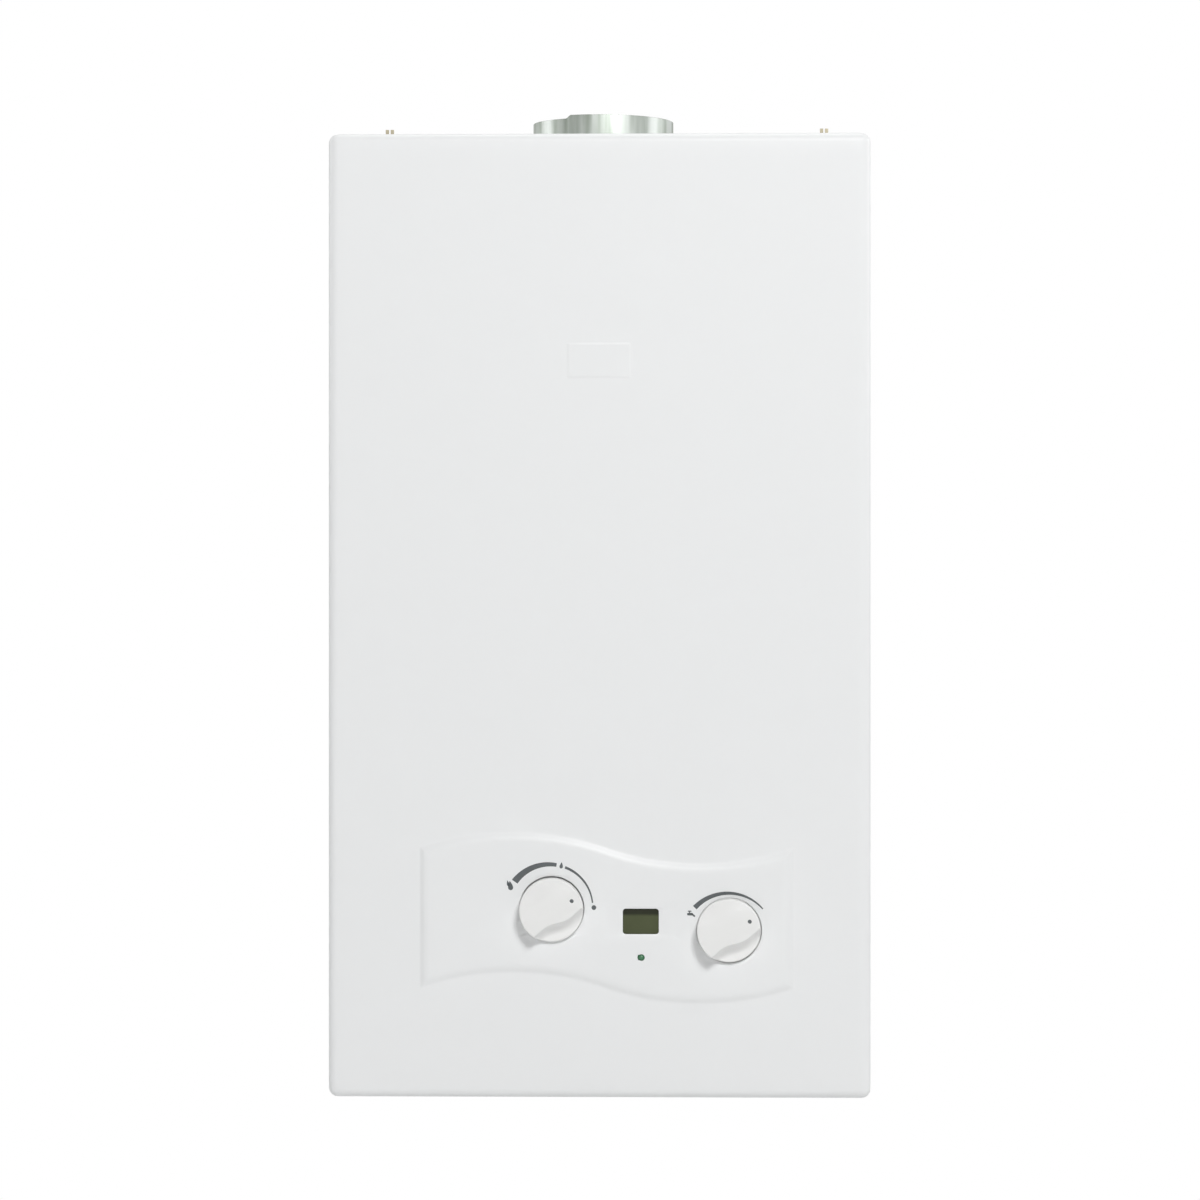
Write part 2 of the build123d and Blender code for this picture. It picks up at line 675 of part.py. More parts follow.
def hanger_ears():
    """Two yellow-plated ears behind the frame, each with a screw hole and a two-pronged tip."""
    tip = case_top + EAR_RISE
    prongs = tip - EAR_PRONG_LENGTH
    half_tip = EAR_NOTCH / 2 + EAR_PRONG_WIDTH
    half_width_of_ear = EAR_WIDTH / 2
    outline = mirrored_outline([(half_width_of_ear, frame_top - EAR_LAP),
                                (half_width_of_ear, prongs - EAR_SHOULDER),
                                (half_tip, prongs), (half_tip, tip)])
    outline -= Pos(0, tip) * Rectangle(EAR_NOTCH, 2 * EAR_PRONG_LENGTH)
    outline -= Circle(EAR_HOLE_RADIUS)
    return pair(lambda x: extrude(facing(0) * (Pos(x, 0) * outline), EAR_GAUGE), ear_x)


def wall_spacers():
    """Two rubber pads that keep the frame's foot as far from the wall as its ears."""
    z = span(case_bottom + SPACER_RISE, SPACER_HEIGHT)
    return pair(lambda x: box(span(x, SPACER_WIDTH), (frame_rear, 0), z), half_width - SPACER_INSET)


# Flue

def flue_collar():
    """A rolled collar with a flange that seats on the hood."""
    height = (hood_top, case_top + COLLAR_RISE)
    flange = (hood_top, hood_top + COLLAR_FLANGE_GAUGE)
    collar = rod_z(0, flue_y, height, COLLAR_RADIUS)
    collar += rod_z(0, flue_y, flange, COLLAR_RADIUS + COLLAR_FLANGE)
    return collar - rod_z(0, flue_y, height, COLLAR_RADIUS - COLLAR_GAUGE)


def hood_profile(inset, low):
    """The hood from the front: an upright skirt, then shoulders that slope in to a flat top."""
    side, top = chamber_side - inset, HOOD_TOP_WIDTH / 2 - inset
    return mirrored_outline([(side, low), (side, hood_bottom + HOOD_SKIRT), (top, hood_top - inset)])


def draught_hood():
    """A sheet hood over the exchanger, with draught-relief slots in its front and rear walls."""
    depth = chamber_rear - chamber_front
    outer = extrude(facing(chamber_rear) * hood_profile(0, hood_bottom), depth)
    inside = hood_profile(HOOD_GAUGE, hood_bottom - CUT_OVERRUN)
    hollow = extrude(facing(chamber_rear - HOOD_GAUGE) * inside, depth - 2 * HOOD_GAUGE)
    way = rod_z(0, flue_y, (hood_top - HOOD_GAUGE - CUT_OVERRUN, hood_top + CUT_OVERRUN), COLLAR_RADIUS)
    relief_low = hood_bottom + RELIEF_RISE
    relief = box(span(0, RELIEF_WIDTH), (chamber_front - CUT_OVERRUN, chamber_rear + CUT_OVERRUN),
                 (relief_low, relief_low + RELIEF_HEIGHT))
    return outer - hollow - way - relief


def hood_baffle():
    """A plate across the hood that turns a down-draught aside, lodged between its front and rear walls."""
    inset = HOOD_GAUGE + SEAT_GAP
    z = hood_bottom + BAFFLE_RISE
    return box(span(0, BAFFLE_WIDTH), (chamber_front + inset, chamber_rear - inset), (z, z + BAFFLE_GAUGE))


def spill_thermostat():
    """A disc thermostat on the hood's front wall, with its fixing flange."""
    flange = box(span(SPILL_STAT_X, STAT_FLANGE_WIDTH), (chamber_front - STAT_FLANGE_GAUGE, chamber_front),
                 span(spill_z, STAT_FLANGE_HEIGHT))
    return flange + rod_y(SPILL_STAT_X, (chamber_front - STAT_DEPTH, chamber_front), spill_z, STAT_RADIUS)


# Heat exchanger

def chamber_shell():
    """The copper fire box, open at top and bottom, with holes for the finned tubes in both sides."""
    outer = box((-chamber_side, chamber_side), (chamber_front, chamber_rear), (chamber_bottom, chamber_top))
    inner = box((-chamber_side + CHAMBER_GAUGE, chamber_side - CHAMBER_GAUGE),
                (chamber_front + CHAMBER_GAUGE, chamber_rear - CHAMBER_GAUGE),
                (chamber_bottom - CUT_OVERRUN, chamber_top + CUT_OVERRUN))
    shell = fillet(outer.edges().filter_by(Axis.Z), chamber_corner)
    shell -= fillet(inner.edges().filter_by(Axis.Z), chamber_corner - CHAMBER_GAUGE)
    for y in tube_places:
        shell -= rod_x((-tube_end, tube_end), y, fin_middle, FIN_TUBE_RADIUS + RUNNING_FIT)
    return shell


def fin_block():
    """Copper fins brazed across the water tubes."""
    inset = CHAMBER_GAUGE + SEAT_GAP
    first = -chamber_side + chamber_corner
    pitch = (2 * -first - FIN_GAUGE) / (FIN_COUNT - 1)
    depth = (chamber_front + inset, chamber_rear - inset)
    fins = [box((first + i * pitch, first + i * pitch + FIN_GAUGE), depth, span(fin_middle, FIN_HEIGHT))
            for i in range(FIN_COUNT)]
    length = (-tube_end, tube_end)
    tubes = [rod_x(length, y, fin_middle, FIN_TUBE_RADIUS) for y in tube_places]
    bores = [rod_x(length, y, fin_middle, FIN_TUBE_RADIUS - FIN_TUBE_WALL) for y in tube_places]
    return tubes[0].fuse(*fins, *tubes[1:]).cut(*bores)


def return_bends():
    """Half-round bends that join the tubes in one path, alternately on the left and the right."""
    section = Circle(FIN_TUBE_RADIUS) - Circle(FIN_TUBE_RADIUS - FIN_TUBE_WALL)
    bends = []
    for i in range(FIN_TUBE_COUNT - 1):
        side = 1 if i % 2 else -1
        x = side * tube_end
        start = Plane(origin=(x, tube_places[i], fin_middle), z_dir=(side, 0, 0))
        pivot = Axis((x, (tube_places[i] + tube_places[i + 1]) / 2, fin_middle), (0, 0, side))
        bends.append(revolve(start * section, pivot, -180))
    return Compound(bends)


def chamber_coil():
    """One copper tube: up from the water valve, once round the fire box and into the first finned tube."""
    off = COIL_RADIUS + SEAT_GAP
    side, front, rear = chamber_side + off, chamber_front - off, chamber_rear + off
    leg = chamber_side + COIL_LEG_OUT
    start, end = chamber_bottom + COIL_START_RISE, chamber_bottom + COIL_END_RISE
    rise = (end - start) / 4
    jog = (water_high + burner_bottom) / 2
    half_jog = (side - water_outlet_x) / 2
    points = [
        (water_outlet_x, valve_y, water_high),
        (water_outlet_x, valve_y, jog - half_jog),
        (side, valve_y, jog + half_jog),
        (side, valve_y, start),
        (side, rear, start + rise),
        (-side, rear, start + 2 * rise),
        (-side, front, start + 3 * rise),
        (leg, front, end),
        (leg, tube_places[0], end),
        (leg, tube_places[0], fin_middle),
        (tube_end, tube_places[0], fin_middle),
    ]
    return pipe(points, COIL_BEND, COIL_RADIUS, COIL_WALL)


def exchanger_bracket():
    """A channel that holds the fire box off the back plate."""
    z = span(chamber_top - EXCHANGER_BRACKET_DROP, EXCHANGER_BRACKET_HEIGHT)
    channel = box(span(0, EXCHANGER_BRACKET_WIDTH), (chamber_rear, frame_face), z)
    return channel - box(span(0, EXCHANGER_BRACKET_WIDTH + CUT_OVERRUN),
                         (chamber_rear + BRACKET_GAUGE, frame_face - BRACKET_GAUGE),
                         (z[0] + BRACKET_GAUGE, z[1] + CUT_OVERRUN))


# Connections and pipes

def brass_union(x, across, thread_radius, thread_length):
    """A brass union: a hexagon that the pipe seats on, above a threaded spigot."""
    shoulder = connection_end + thread_length
    height = (connection_end, shoulder + UNION_HEX)
    body = hexagon((x, connection_y, shoulder), (x, connection_y, height[1]), across)
    body += rod_z(x, connection_y, height, thread_radius)
    return body - rod_z(x, connection_y, height, UNION_BORE_RADIUS)


def water_union(x):
    """The half-inch union of a water connection."""
    return brass_union(x, UNION_HEX_ACROSS, WATER_THREAD_RADIUS, WATER_THREAD_LENGTH)


def gas_inlet_union():
    """The three-quarter-inch union of the gas connection."""
    return brass_union(GAS_CONNECTION_X, GAS_HEX_ACROSS, GAS_THREAD_RADIUS, GAS_THREAD_LENGTH)


def hot_outlet_pipe():
    """From the last finned tube down the left side, stepping back to the hot connection."""
    jog = water_seat + (fin_middle - water_seat) * PIPE_JOG_SHARE
    points = [
        (-tube_end, hot_pipe_y, fin_middle),
        (hot_pipe_x, hot_pipe_y, fin_middle),
        (hot_pipe_x, hot_pipe_y, jog),
        (-connection_x, connection_y, jog - PIPE_JOG_LENGTH),
        (-connection_x, connection_y, water_seat),
    ]
    return pipe(points, PIPE_BEND, PIPE_RADIUS, PIPE_WALL)


def cold_inlet_pipe():
    """From the cold connection up and forward to the side of the water valve."""
    points = [
        (connection_x, connection_y, water_seat),
        (connection_x, connection_y, (water_seat + cold_inlet_z) / 2),
        (connection_x, valve_y, cold_inlet_z),
        (water_right, valve_y, cold_inlet_z),
    ]
    return pipe(points, PIPE_BEND, PIPE_RADIUS, PIPE_WALL)


def gas_inlet_pipe():
    """From the gas connection up and forward to the underside of the gas valve."""
    straight = (gas_low - gas_seat) * PIPE_JOG_SHARE
    points = [
        (GAS_CONNECTION_X, connection_y, gas_seat),
        (GAS_CONNECTION_X, connection_y, gas_seat + straight),
        (GAS_KNOB_X, valve_y, gas_low - straight),
        (GAS_KNOB_X, valve_y, gas_low),
    ]
    return pipe(points, PIPE_BEND, PIPE_RADIUS, PIPE_WALL)


# Burner

def burner_frame():
    """A tray under the fire box, open in front, with ledges that carry the burner bars."""
    inside = (-burner_half + BURNER_GAUGE, burner_half - BURNER_GAUGE)
    tray = box((-burner_half, burner_half), (chamber_front, chamber_rear), (burner_bottom, chamber_bottom))
    tray -= box(inside, (chamber_front + BURNER_GAUGE, chamber_rear - BURNER_GAUGE),
                (bar_bottom, chamber_bottom + CUT_OVERRUN))
    tray -= box(inside, (chamber_front + BURNER_LEDGE, chamber_rear - BURNER_LEDGE),
                (burner_bottom - CUT_OVERRUN, bar_bottom + CUT_OVERRUN))
    return tray - box((-burner_half + BURNER_LEDGE, burner_half - BURNER_LEDGE),
                      (chamber_front - CUT_OVERRUN, chamber_front + BURNER_GAUGE + CUT_OVERRUN),
                      (burner_bottom + BURNER_FRONT_STRIP, chamber_bottom + CUT_OVERRUN))


def burner_bar(x):
    """A hollow sheet bar: a rounded crown with a row of flame ports and a gas throat in its front end."""
    inset = BURNER_GAUGE + SEAT_GAP
    y = (chamber_front + inset, chamber_rear - inset)
    bar = box(span(x, BAR_THICKNESS), y, (bar_bottom, bar_top))
    bar = fillet(bar.edges().group_by(Axis.Z)[-1].filter_by(Axis.Y), BAR_CROWN)
    bar -= box(span(x, BAR_THICKNESS - 2 * BAR_GAUGE), (y[0] + BAR_GAUGE, y[1] - BAR_GAUGE),
               (bar_bottom + BAR_GAUGE, bar_top - BAR_CROWN))
    bar -= rod_y(x, (y[0], y[0] + 2 * BAR_GAUGE), throat_z, BAR_THROAT_RADIUS)
    pitch = (y[1] - y[0]) / BAR_PORT_COUNT
    ports = [box(span(x, BAR_PORT_WIDTH), span(y[0] + (i + 1 / 2) * pitch, pitch * BAR_PORT_SHARE),
                 (bar_top - BAR_PORT_DEPTH, bar_top + CUT_OVERRUN)) for i in range(BAR_PORT_COUNT)]
    return bar.cut(*ports)


def burner_bars():
    """The row of burner bars."""
    return Compound([burner_bar(x) for x in bar_places])


def gas_manifold():
    """A square tube in front of the burner with closed ends, fed from below."""
    tube = box((-burner_half, burner_half), (manifold_front, manifold_rear), (manifold_low, manifold_high))
    tube -= box((-burner_half + MANIFOLD_WALL, burner_half - MANIFOLD_WALL),
                (manifold_front + MANIFOLD_WALL, manifold_rear - MANIFOLD_WALL),
                (manifold_low + MANIFOLD_WALL, manifold_high - MANIFOLD_WALL))
    tube -= rod_z(GAS_KNOB_X, manifold_y, (manifold_low, throat_z), FEED_PIPE_RADIUS - FEED_PIPE_WALL)
    holes = [rod_y(x, (manifold_y, manifold_rear), throat_z, INJECTOR_BORE_RADIUS) for x in bar_places]
    return tube - Compound(holes)


def injector(x):
    """A brass injector on the manifold, aimed at its bar's throat."""
    shoulder = manifold_rear + INJECTOR_LENGTH
    tip = shoulder + INJECTOR_TIP
    body = hexagon((x, manifold_rear, throat_z), (x, shoulder, throat_z), 2 * INJECTOR_RADIUS)
    body += rod_y(x, (shoulder, tip), throat_z, INJECTOR_TIP_RADIUS)
    return body - rod_y(x, (manifold_rear, tip), throat_z, INJECTOR_BORE_RADIUS)


def injectors():
    """One injector for each burner bar."""
    return Compound([injector(x) for x in bar_places])


def manifold_brackets():
    """Two straps that hold the manifold's ends off the burner tray's corner posts."""
    z = (manifold_low, manifold_low + BRACKET_GAUGE)
    middle = burner_half - BURNER_LEDGE / 2
    return pair(lambda x: box(span(x, BURNER_LEDGE), (manifold_rear, chamber_front), z), middle)


def gas_feed_pipe():
    """From the top of the gas valve, stepping forward to the underside of the manifold."""
    rise = manifold_low - gas_high
    points = [
        (GAS_KNOB_X, valve_y, gas_high),
        (GAS_KNOB_X, valve_y, gas_high + rise * FEED_LOW_SHARE),
        (GAS_KNOB_X, manifold_y, gas_high + rise * FEED_HIGH_SHARE),
        (GAS_KNOB_X, manifold_y, manifold_low),
    ]
    return pipe(points, FEED_BEND, FEED_PIPE_RADIUS, FEED_PIPE_WALL)


# Electrodes

def electrode_bracket():
    """A plate that stands on the manifold and carries both insulators."""
    across = (electrode_places[0] - ELECTRODE_PLATE_MARGIN, electrode_places[1] + ELECTRODE_PLATE_MARGIN)
    top = electrode_z + INSULATOR_RADIUS + ELECTRODE_PLATE_MARGIN
    bracket = box(across, (manifold_y, manifold_rear), (manifold_high, manifold_high + BRACKET_GAUGE))
    bracket += box(across, (manifold_y, manifold_y + BRACKET_GAUGE), (manifold_high, top))
    for x in electrode_places:
        bracket -= rod_y(x, (manifold_front, manifold_rear), electrode_z, INSULATOR_RADIUS + RUNNING_FIT)
    return bracket


def electrode_insulators():
    """Two ceramic sleeves."""
    y = (insulator_front, insulator_rear)
    bore = ELECTRODE_ROD_RADIUS + RUNNING_FIT
    return Compound([rod_y(x, y, electrode_z, INSULATOR_RADIUS) - rod_y(x, y, electrode_z, bore)
                     for x in electrode_places])


def electrode_rods():
    """The spark rod and the flame-sensing rod, which end over the burner bars."""
    y = (insulator_front, insulator_rear + ELECTRODE_REACH)
    return Compound([rod_y(x, y, electrode_z, ELECTRODE_ROD_RADIUS) for x in electrode_places])


# Gas valve

def gas_valve_body():
    """A die-cast body: bores for the tap plug and the valve disc, ports for the two pipes."""
    body = box((gas_left, gas_right), (valve_front, valve_rear), (gas_low, gas_high))
    body = fillet(body.edges().filter_by(Axis.Y), GAS_VALVE_EDGE)
    tap = (valve_front, valve_front + TAP_PLUG_LENGTH)
    body -= rod_y(GAS_KNOB_X, tap, gas_knob_z, TAP_PLUG_RADIUS + RUNNING_FIT)
    spring_end = disc_left - SPRING_LENGTH
    body -= rod_x((spring_end, gas_right - SEAT_WALL), valve_y, push_z, SEAT_BORE_RADIUS)
    body -= rod_x((disc_left, gas_right), valve_y, push_z, PUSH_ROD_RADIUS + RUNNING_FIT)
    body -= rod_z(GAS_KNOB_X, valve_y, (gas_low, gas_low + GAS_PORT_DEPTH), PIPE_RADIUS - PIPE_WALL)
    return body - rod_z(GAS_KNOB_X, valve_y, (gas_high - GAS_PORT_DEPTH, gas_high),
                        FEED_PIPE_RADIUS - FEED_PIPE_WALL)


def gas_tap_spindle():
    """The tap's plug and the spindle that carries the gas knob."""
    end = valve_front + TAP_PLUG_LENGTH - SEAT_GAP
    plug = rod_y(GAS_KNOB_X, (valve_front, end), gas_knob_z, TAP_PLUG_RADIUS)
    return plug + rod_y(GAS_KNOB_X, (socket_end + SEAT_GAP, end), gas_knob_z, SPINDLE_RADIUS)


def gas_valve_disc():
    """The sprung disc that the push rod lifts off its seat."""
    return rod_x((disc_left, disc_right), valve_y, push_z, VALVE_DISC_RADIUS)


def gas_valve_spring():
    """A helical spring between the disc and the end of its bore."""
    start = disc_left - SPRING_LENGTH + SPRING_WIRE_RADIUS + RUNNING_FIT
    length = SPRING_LENGTH - 2 * (SPRING_WIRE_RADIUS + RUNNING_FIT)
    helix = Helix(length / SPRING_TURNS, length, SPRING_RADIUS)
    path = Plane(origin=(start, valve_y, push_z), z_dir=(1, 0, 0)) * helix
    wire = Plane(origin=path @ 0, z_dir=path % 0) * Circle(SPRING_WIRE_RADIUS)
    return sweep(wire, path=path, is_frenet=True)


def solenoid_coil():
    """The safety solenoid on the gas valve's left side, with a bore for its plunger."""
    bore = PLUNGER_LENGTH + PLUNGER_TRAVEL + SEAT_GAP
    body = rod_x((gas_left - SOLENOID_LENGTH, gas_left), valve_y, solenoid_z, SOLENOID_RADIUS)
    return body - rod_x((gas_left - bore, gas_left), valve_y, solenoid_z, SOLENOID_BORE_RADIUS)


def solenoid_plunger():
    """The plunger, shut against the valve body."""
    end = gas_left - RUNNING_FIT
    return rod_x((end - PLUNGER_LENGTH, end), valve_y, solenoid_z, SOLENOID_BORE_RADIUS - RUNNING_FIT)


# Water valve

def flange_screw_places():
    """The y and z of each screw round the diaphragm housing."""
    circle = (DIAPHRAGM_RADIUS + WATER_CAVITY_RADIUS) / 2
    ring = PolarLocations(circle, FLANGE_SCREW_COUNT, start_angle=180 / FLANGE_SCREW_COUNT)
    return [(valve_y + place.position.X, push_z + place.position.Y) for place in ring]


def flange_holes(x):
    """Clearance holes for the screws round the diaphragm housing."""
    radius = FLANGE_SCREW_RADIUS + RUNNING_FIT
    return Compound([rod_x(x, y, z, radius) for y, z in flange_screw_places()])


def water_valve_body():
    """A cast block with a water chamber, and half of the round diaphragm housing on its left."""
    body = box((water_left, water_right), (valve_front, valve_rear), (water_low, water_high))
    body = fillet(body.edges().filter_by(Axis.Y), GAS_VALVE_EDGE)
    body += rod_x((flange_face, water_left), valve_y, push_z, DIAPHRAGM_RADIUS)
    cavity = (flange_face, flange_face + water_cavity)
    body -= rod_x(cavity, valve_y, push_z, WATER_CAVITY_RADIUS)
    body -= flange_holes(cavity)
    selector_end = valve_front + SELECTOR_LENGTH
    body -= rod_y(WATER_KNOB_X, (valve_front, selector_end), water_knob_z, SELECTOR_RADIUS + RUNNING_FIT)
    body -= box((water_left + WATER_BLOCK_WALL, water_right - WATER_BLOCK_WALL),
                (selector_end, valve_rear - WATER_BLOCK_WALL),
                (water_low + WATER_BLOCK_WALL, water_high - WATER_BLOCK_WALL))
    body -= rod_x((water_right - WATER_PORT_DEPTH, water_right), valve_y, cold_inlet_z,
                  PIPE_RADIUS - PIPE_WALL)
    body -= rod_z(water_outlet_x, valve_y, (water_high - WATER_PORT_DEPTH, water_high),
                  COIL_RADIUS - COIL_WALL)
    return body - rod_z(WATER_KNOB_X, valve_y, (water_low, water_low + DRAIN_LENGTH),
                        DRAIN_RADIUS + RUNNING_FIT)


def water_valve_cover():
    """The other half of the diaphragm housing, which guides the push rod."""
    length = (water_cover_end, diaphragm_face)
    cover = rod_x(length, valve_y, push_z, DIAPHRAGM_RADIUS)
    cover -= rod_x((diaphragm_face - water_cavity, diaphragm_face), valve_y, push_z, WATER_CAVITY_RADIUS)
    cover -= rod_x(length, valve_y, push_z, PUSH_ROD_RADIUS + RUNNING_FIT)
    return cover - flange_holes(length)


def diaphragm():
    """The rubber disc clamped between the two halves."""
    length = (diaphragm_face, flange_face)
    return rod_x(length, valve_y, push_z, DIAPHRAGM_RADIUS) - flange_holes(length)


def diaphragm_rod():
    """The diaphragm's plate and the push rod that reaches the gas valve's disc."""
    plate = rod_x((plate_end, diaphragm_face), valve_y, push_z, PLATE_RADIUS)
    stem = rod_x((disc_right, plate_end), valve_y, push_z, PUSH_ROD_RADIUS)
    collar = (collar_left, collar_left + PUSH_ROD_COLLAR)
    return plate + stem + rod_x(collar, valve_y, push_z, PUSH_ROD_COLLAR_RADIUS)


def water_selector_spindle():
    """The flow selector's screw and the spindle that carries the water knob."""
    end = valve_front + SELECTOR_LENGTH - SEAT_GAP
    screw = rod_y(WATER_KNOB_X, (valve_front, end), water_knob_z, SELECTOR_RADIUS)
    return screw + rod_y(WATER_KNOB_X, (socket_end + SEAT_GAP, end), water_knob_z, SPINDLE_RADIUS)


def water_valve_screws():
    """Screws that clamp the diaphragm housing."""
    head = (water_cover_end - FLANGE_SCREW_HEAD, water_cover_end)
    shank = (water_cover_end, flange_face + water_cavity)
    return Compound([rod_x(head, y, z, FLANGE_SCREW_HEAD_RADIUS) + rod_x(shank, y, z, FLANGE_SCREW_RADIUS)
                     for y, z in flange_screw_places()])


def drain_plug():
    """The plug under the water valve."""
    plug = rod_z(WATER_KNOB_X, valve_y, (water_low, water_low + DRAIN_LENGTH), DRAIN_RADIUS)
    return plug + rod_z(WATER_KNOB_X, valve_y, (water_low - DRAIN_HEAD, water_low), DRAIN_HEAD_RADIUS)


# Flow switch

def microswitch():
    """A switch on an arm from the diaphragm housing, slotted for its lever."""
    x = span(lever_x, SWITCH_WIDTH)
    depth = span(valve_y, SWITCH_DEPTH)
    top = switch_low + SWITCH_HEIGHT
    switch = box(x, depth, (switch_low, top))
    switch += box((x[1], water_cover_end), depth, (top - SWITCH_ARM_GAUGE, top))
    switch -= box((x[0] - CUT_OVERRUN, lever_x + LEVER_GAUGE + LEVER_EYE_RADIUS + SEAT_GAP),
                  span(valve_y, LEVER_DEPTH + 2 * SEAT_GAP),
                  (switch_low - CUT_OVERRUN, pivot_z + LEVER_EYE_RADIUS + SEAT_GAP))
    return switch + rod_y(lever_x, depth, pivot_z, LEVER_PIVOT_RADIUS)


def switch_lever():
    """The lever that the push rod's collar swings aside."""
    depth = span(valve_y, LEVER_DEPTH)
    tip = push_z + PUSH_ROD_COLLAR_RADIUS - LEVER_LAP
    lever = box((lever_x, lever_x + LEVER_GAUGE), depth, (tip, pivot_z))
    lever += rod_y(lever_x, depth, pivot_z, LEVER_EYE_RADIUS)
    return lever - rod_y(lever_x, depth, pivot_z, LEVER_PIVOT_RADIUS + RUNNING_FIT)


# Brackets

def shelf_bracket(x, z, front, flange):
    """A bent strip: a flange on the back plate, a shelf, and a flange up against what it carries."""
    bracket = box(x, (frame_face - BRACKET_GAUGE, frame_face), (z - flange, z + BRACKET_GAUGE))
    bracket += box(x, (front, frame_face), (z, z + BRACKET_GAUGE))
    return bracket + box(x, (front, front + BRACKET_GAUGE), (z, z + flange))


def valve_bracket():
    """The shelf behind both valves."""
    return shelf_bracket((gas_left, water_right), case_bottom + VALVE_SHELF_RISE, valve_rear,
                         VALVE_SHELF_FLANGE)


def fascia_bracket():
    """A plate across both valves that carries the display."""
    depth = (fascia_front, valve_front)
    plate = box((gas_left, water_right), depth, (fascia_low, fascia_high))
    plate -= rod_y(GAS_KNOB_X, depth, gas_knob_z, TAP_PLUG_RADIUS + FASCIA_HOLE_GAP)
    return plate - rod_y(WATER_KNOB_X, depth, water_knob_z, SELECTOR_RADIUS + FASCIA_HOLE_GAP)


# Display

def display_housing():
    """A moulded box on the fascia bracket, with a pocket for the glass and a seat for the lamp."""
    housing = box(housing_x, (glass_front, fascia_front), (housing_low, housing_high))
    housing -= box((housing_x[0] + HOUSING_WALL, housing_x[1] - HOUSING_WALL),
                   (glass_front + DISPLAY_GLASS + HOUSING_WALL, fascia_front - HOUSING_FOOT),
                   (housing_low + HOUSING_WALL, housing_high - HOUSING_WALL))
    housing -= box(span(DISPLAY_X, glass_width), (glass_front - CUT_OVERRUN, glass_front + DISPLAY_GLASS),
                   span(display_z, glass_height))
    return housing - rod_y(DISPLAY_X, (glass_front, glass_front + LAMP_COLLAR), lamp_z,
                           LAMP_COLLAR_RADIUS + RUNNING_FIT)


def display_glass():
    """The liquid-crystal panel in the housing's pocket."""
    return box(span(DISPLAY_X, glass_width - 2 * RUNNING_FIT), (glass_front, glass_front + DISPLAY_GLASS),
               span(display_z, glass_height - 2 * RUNNING_FIT))


def indicator_lamp():
    """A green lamp seated in the housing, with its domed end in the panel's hole."""
    seat = glass_front + LAMP_COLLAR
    lamp = rod_y(DISPLAY_X, (panel_front - LAMP_PROUD, seat), lamp_z, LAMP_RADIUS)
    lamp = fillet(lamp.edges().group_by(Axis.Y)[0], LAMP_RADIUS * LAMP_DOME_SHARE)
    return lamp + rod_y(DISPLAY_X, (glass_front, seat), lamp_z, LAMP_COLLAR_RADIUS)


# Knobs

def grip_face():
    """The grip's outline: broad at the tail, waisted in the middle and narrow at the pointer."""
    edge = [(-KNOB_RADIUS, KNOB_GRIP_TAIL_SHARE * KNOB_RADIUS), (0, KNOB_GRIP_WAIST_SHARE * KNOB_RADIUS),
            (KNOB_RADIUS, KNOB_GRIP_NOSE_SHARE * KNOB_RADIUS)]
    other = [(x, -z) for x, z in edge]
    sides = [ThreePointArc(*edge), ThreePointArc(*other)]
    ends = [Line(edge[0], other[0]), Line(edge[-1], other[-1])]
    return make_face(sides + ends) & Circle(KNOB_RADIUS)


def knob(x, z):
    """A round knob with a raised grip, turned so that its pointer is as photographed."""
    depth = (knob_rear, knob_floor)
    body = rod_y(x, depth, z, KNOB_RADIUS)
    body -= rod_y(x, (knob_rear, knob_floor + KNOB_WALL), z, KNOB_RADIUS - KNOB_WALL)
    body += rod_y(x, depth, z, KNOB_HUB_RADIUS)
    grip = extrude(facing(knob_floor) * (Pos(x, z) * Rot(0, 0, KNOB_TILT_DEGREES) * grip_face()), KNOB_GRIP)
    body += fillet(grip.edges().group_by(Axis.Y)[0], KNOB_EDGE_RADIUS)
    return body - rod_y(x, (knob_rear, socket_end), z, SPINDLE_RADIUS + RUNNING_FIT)


# Batteries

def hinge_outer():
    """The outer two of the hinge's three knuckles, along X."""
    width = (battery_x[1] - battery_x[0]) / 5
    return ((battery_x[0], battery_x[0] + width), (battery_x[1] - width, battery_x[1]))


def hinge_knuckle(x, web):
    """A knuckle about the hinge pin, with a web that joins it to the box or the lid."""
    return rod_x(x, hinge_y, hinge_z, BATTERY_HINGE_EYE) + box(x, (battery_rear, hinge_y), web)


def battery_box():
    """A moulded box, open below, with knuckles for the lid's hinge."""
    body = box(battery_x, (battery_front, battery_rear), (battery_low, battery_high))
    body -= box((battery_x[0] + BATTERY_WALL, battery_x[1] - BATTERY_WALL),
                (battery_front + BATTERY_WALL, battery_rear - BATTERY_WALL),
                (battery_low - CUT_OVERRUN, battery_high - BATTERY_WALL))
    for x in hinge_outer():
        body += hinge_knuckle(x, (hinge_z, battery_low + BATTERY_HINGE_EYE))
        body -= rod_x(x, hinge_y, hinge_z, BATTERY_HINGE_RADIUS + RUNNING_FIT)
    return body


def battery_lid():
    """The lid under the box, with its hinge pin moulded on."""
    left, right = hinge_outer()
    plate = (battery_low - SEAT_GAP - BATTERY_LID, battery_low - SEAT_GAP)
    lid = box(battery_x, (battery_front, battery_rear), plate)
    lid += hinge_knuckle((left[1] + SEAT_GAP, right[0] - SEAT_GAP), plate)
    return lid + rod_x((left[0], right[1]), hinge_y, hinge_z, BATTERY_HINGE_RADIUS)


def battery_cells():
    """Round cells lying end to end."""
    z = battery_low + cell_room
    pitch = CELL_LENGTH + CELL_CAP
    first = BATTERY_X - battery_length / 2 + BATTERY_FIT
    cells = []
    for start in [first + i * pitch for i in range(CELL_COUNT)]:
        cell = rod_x((start, start + CELL_LENGTH), battery_y, z, CELL_RADIUS)
        cells.append(cell + rod_x((start + CELL_LENGTH, start + pitch), battery_y, z, CELL_CAP_RADIUS))
    return Compound(cells)


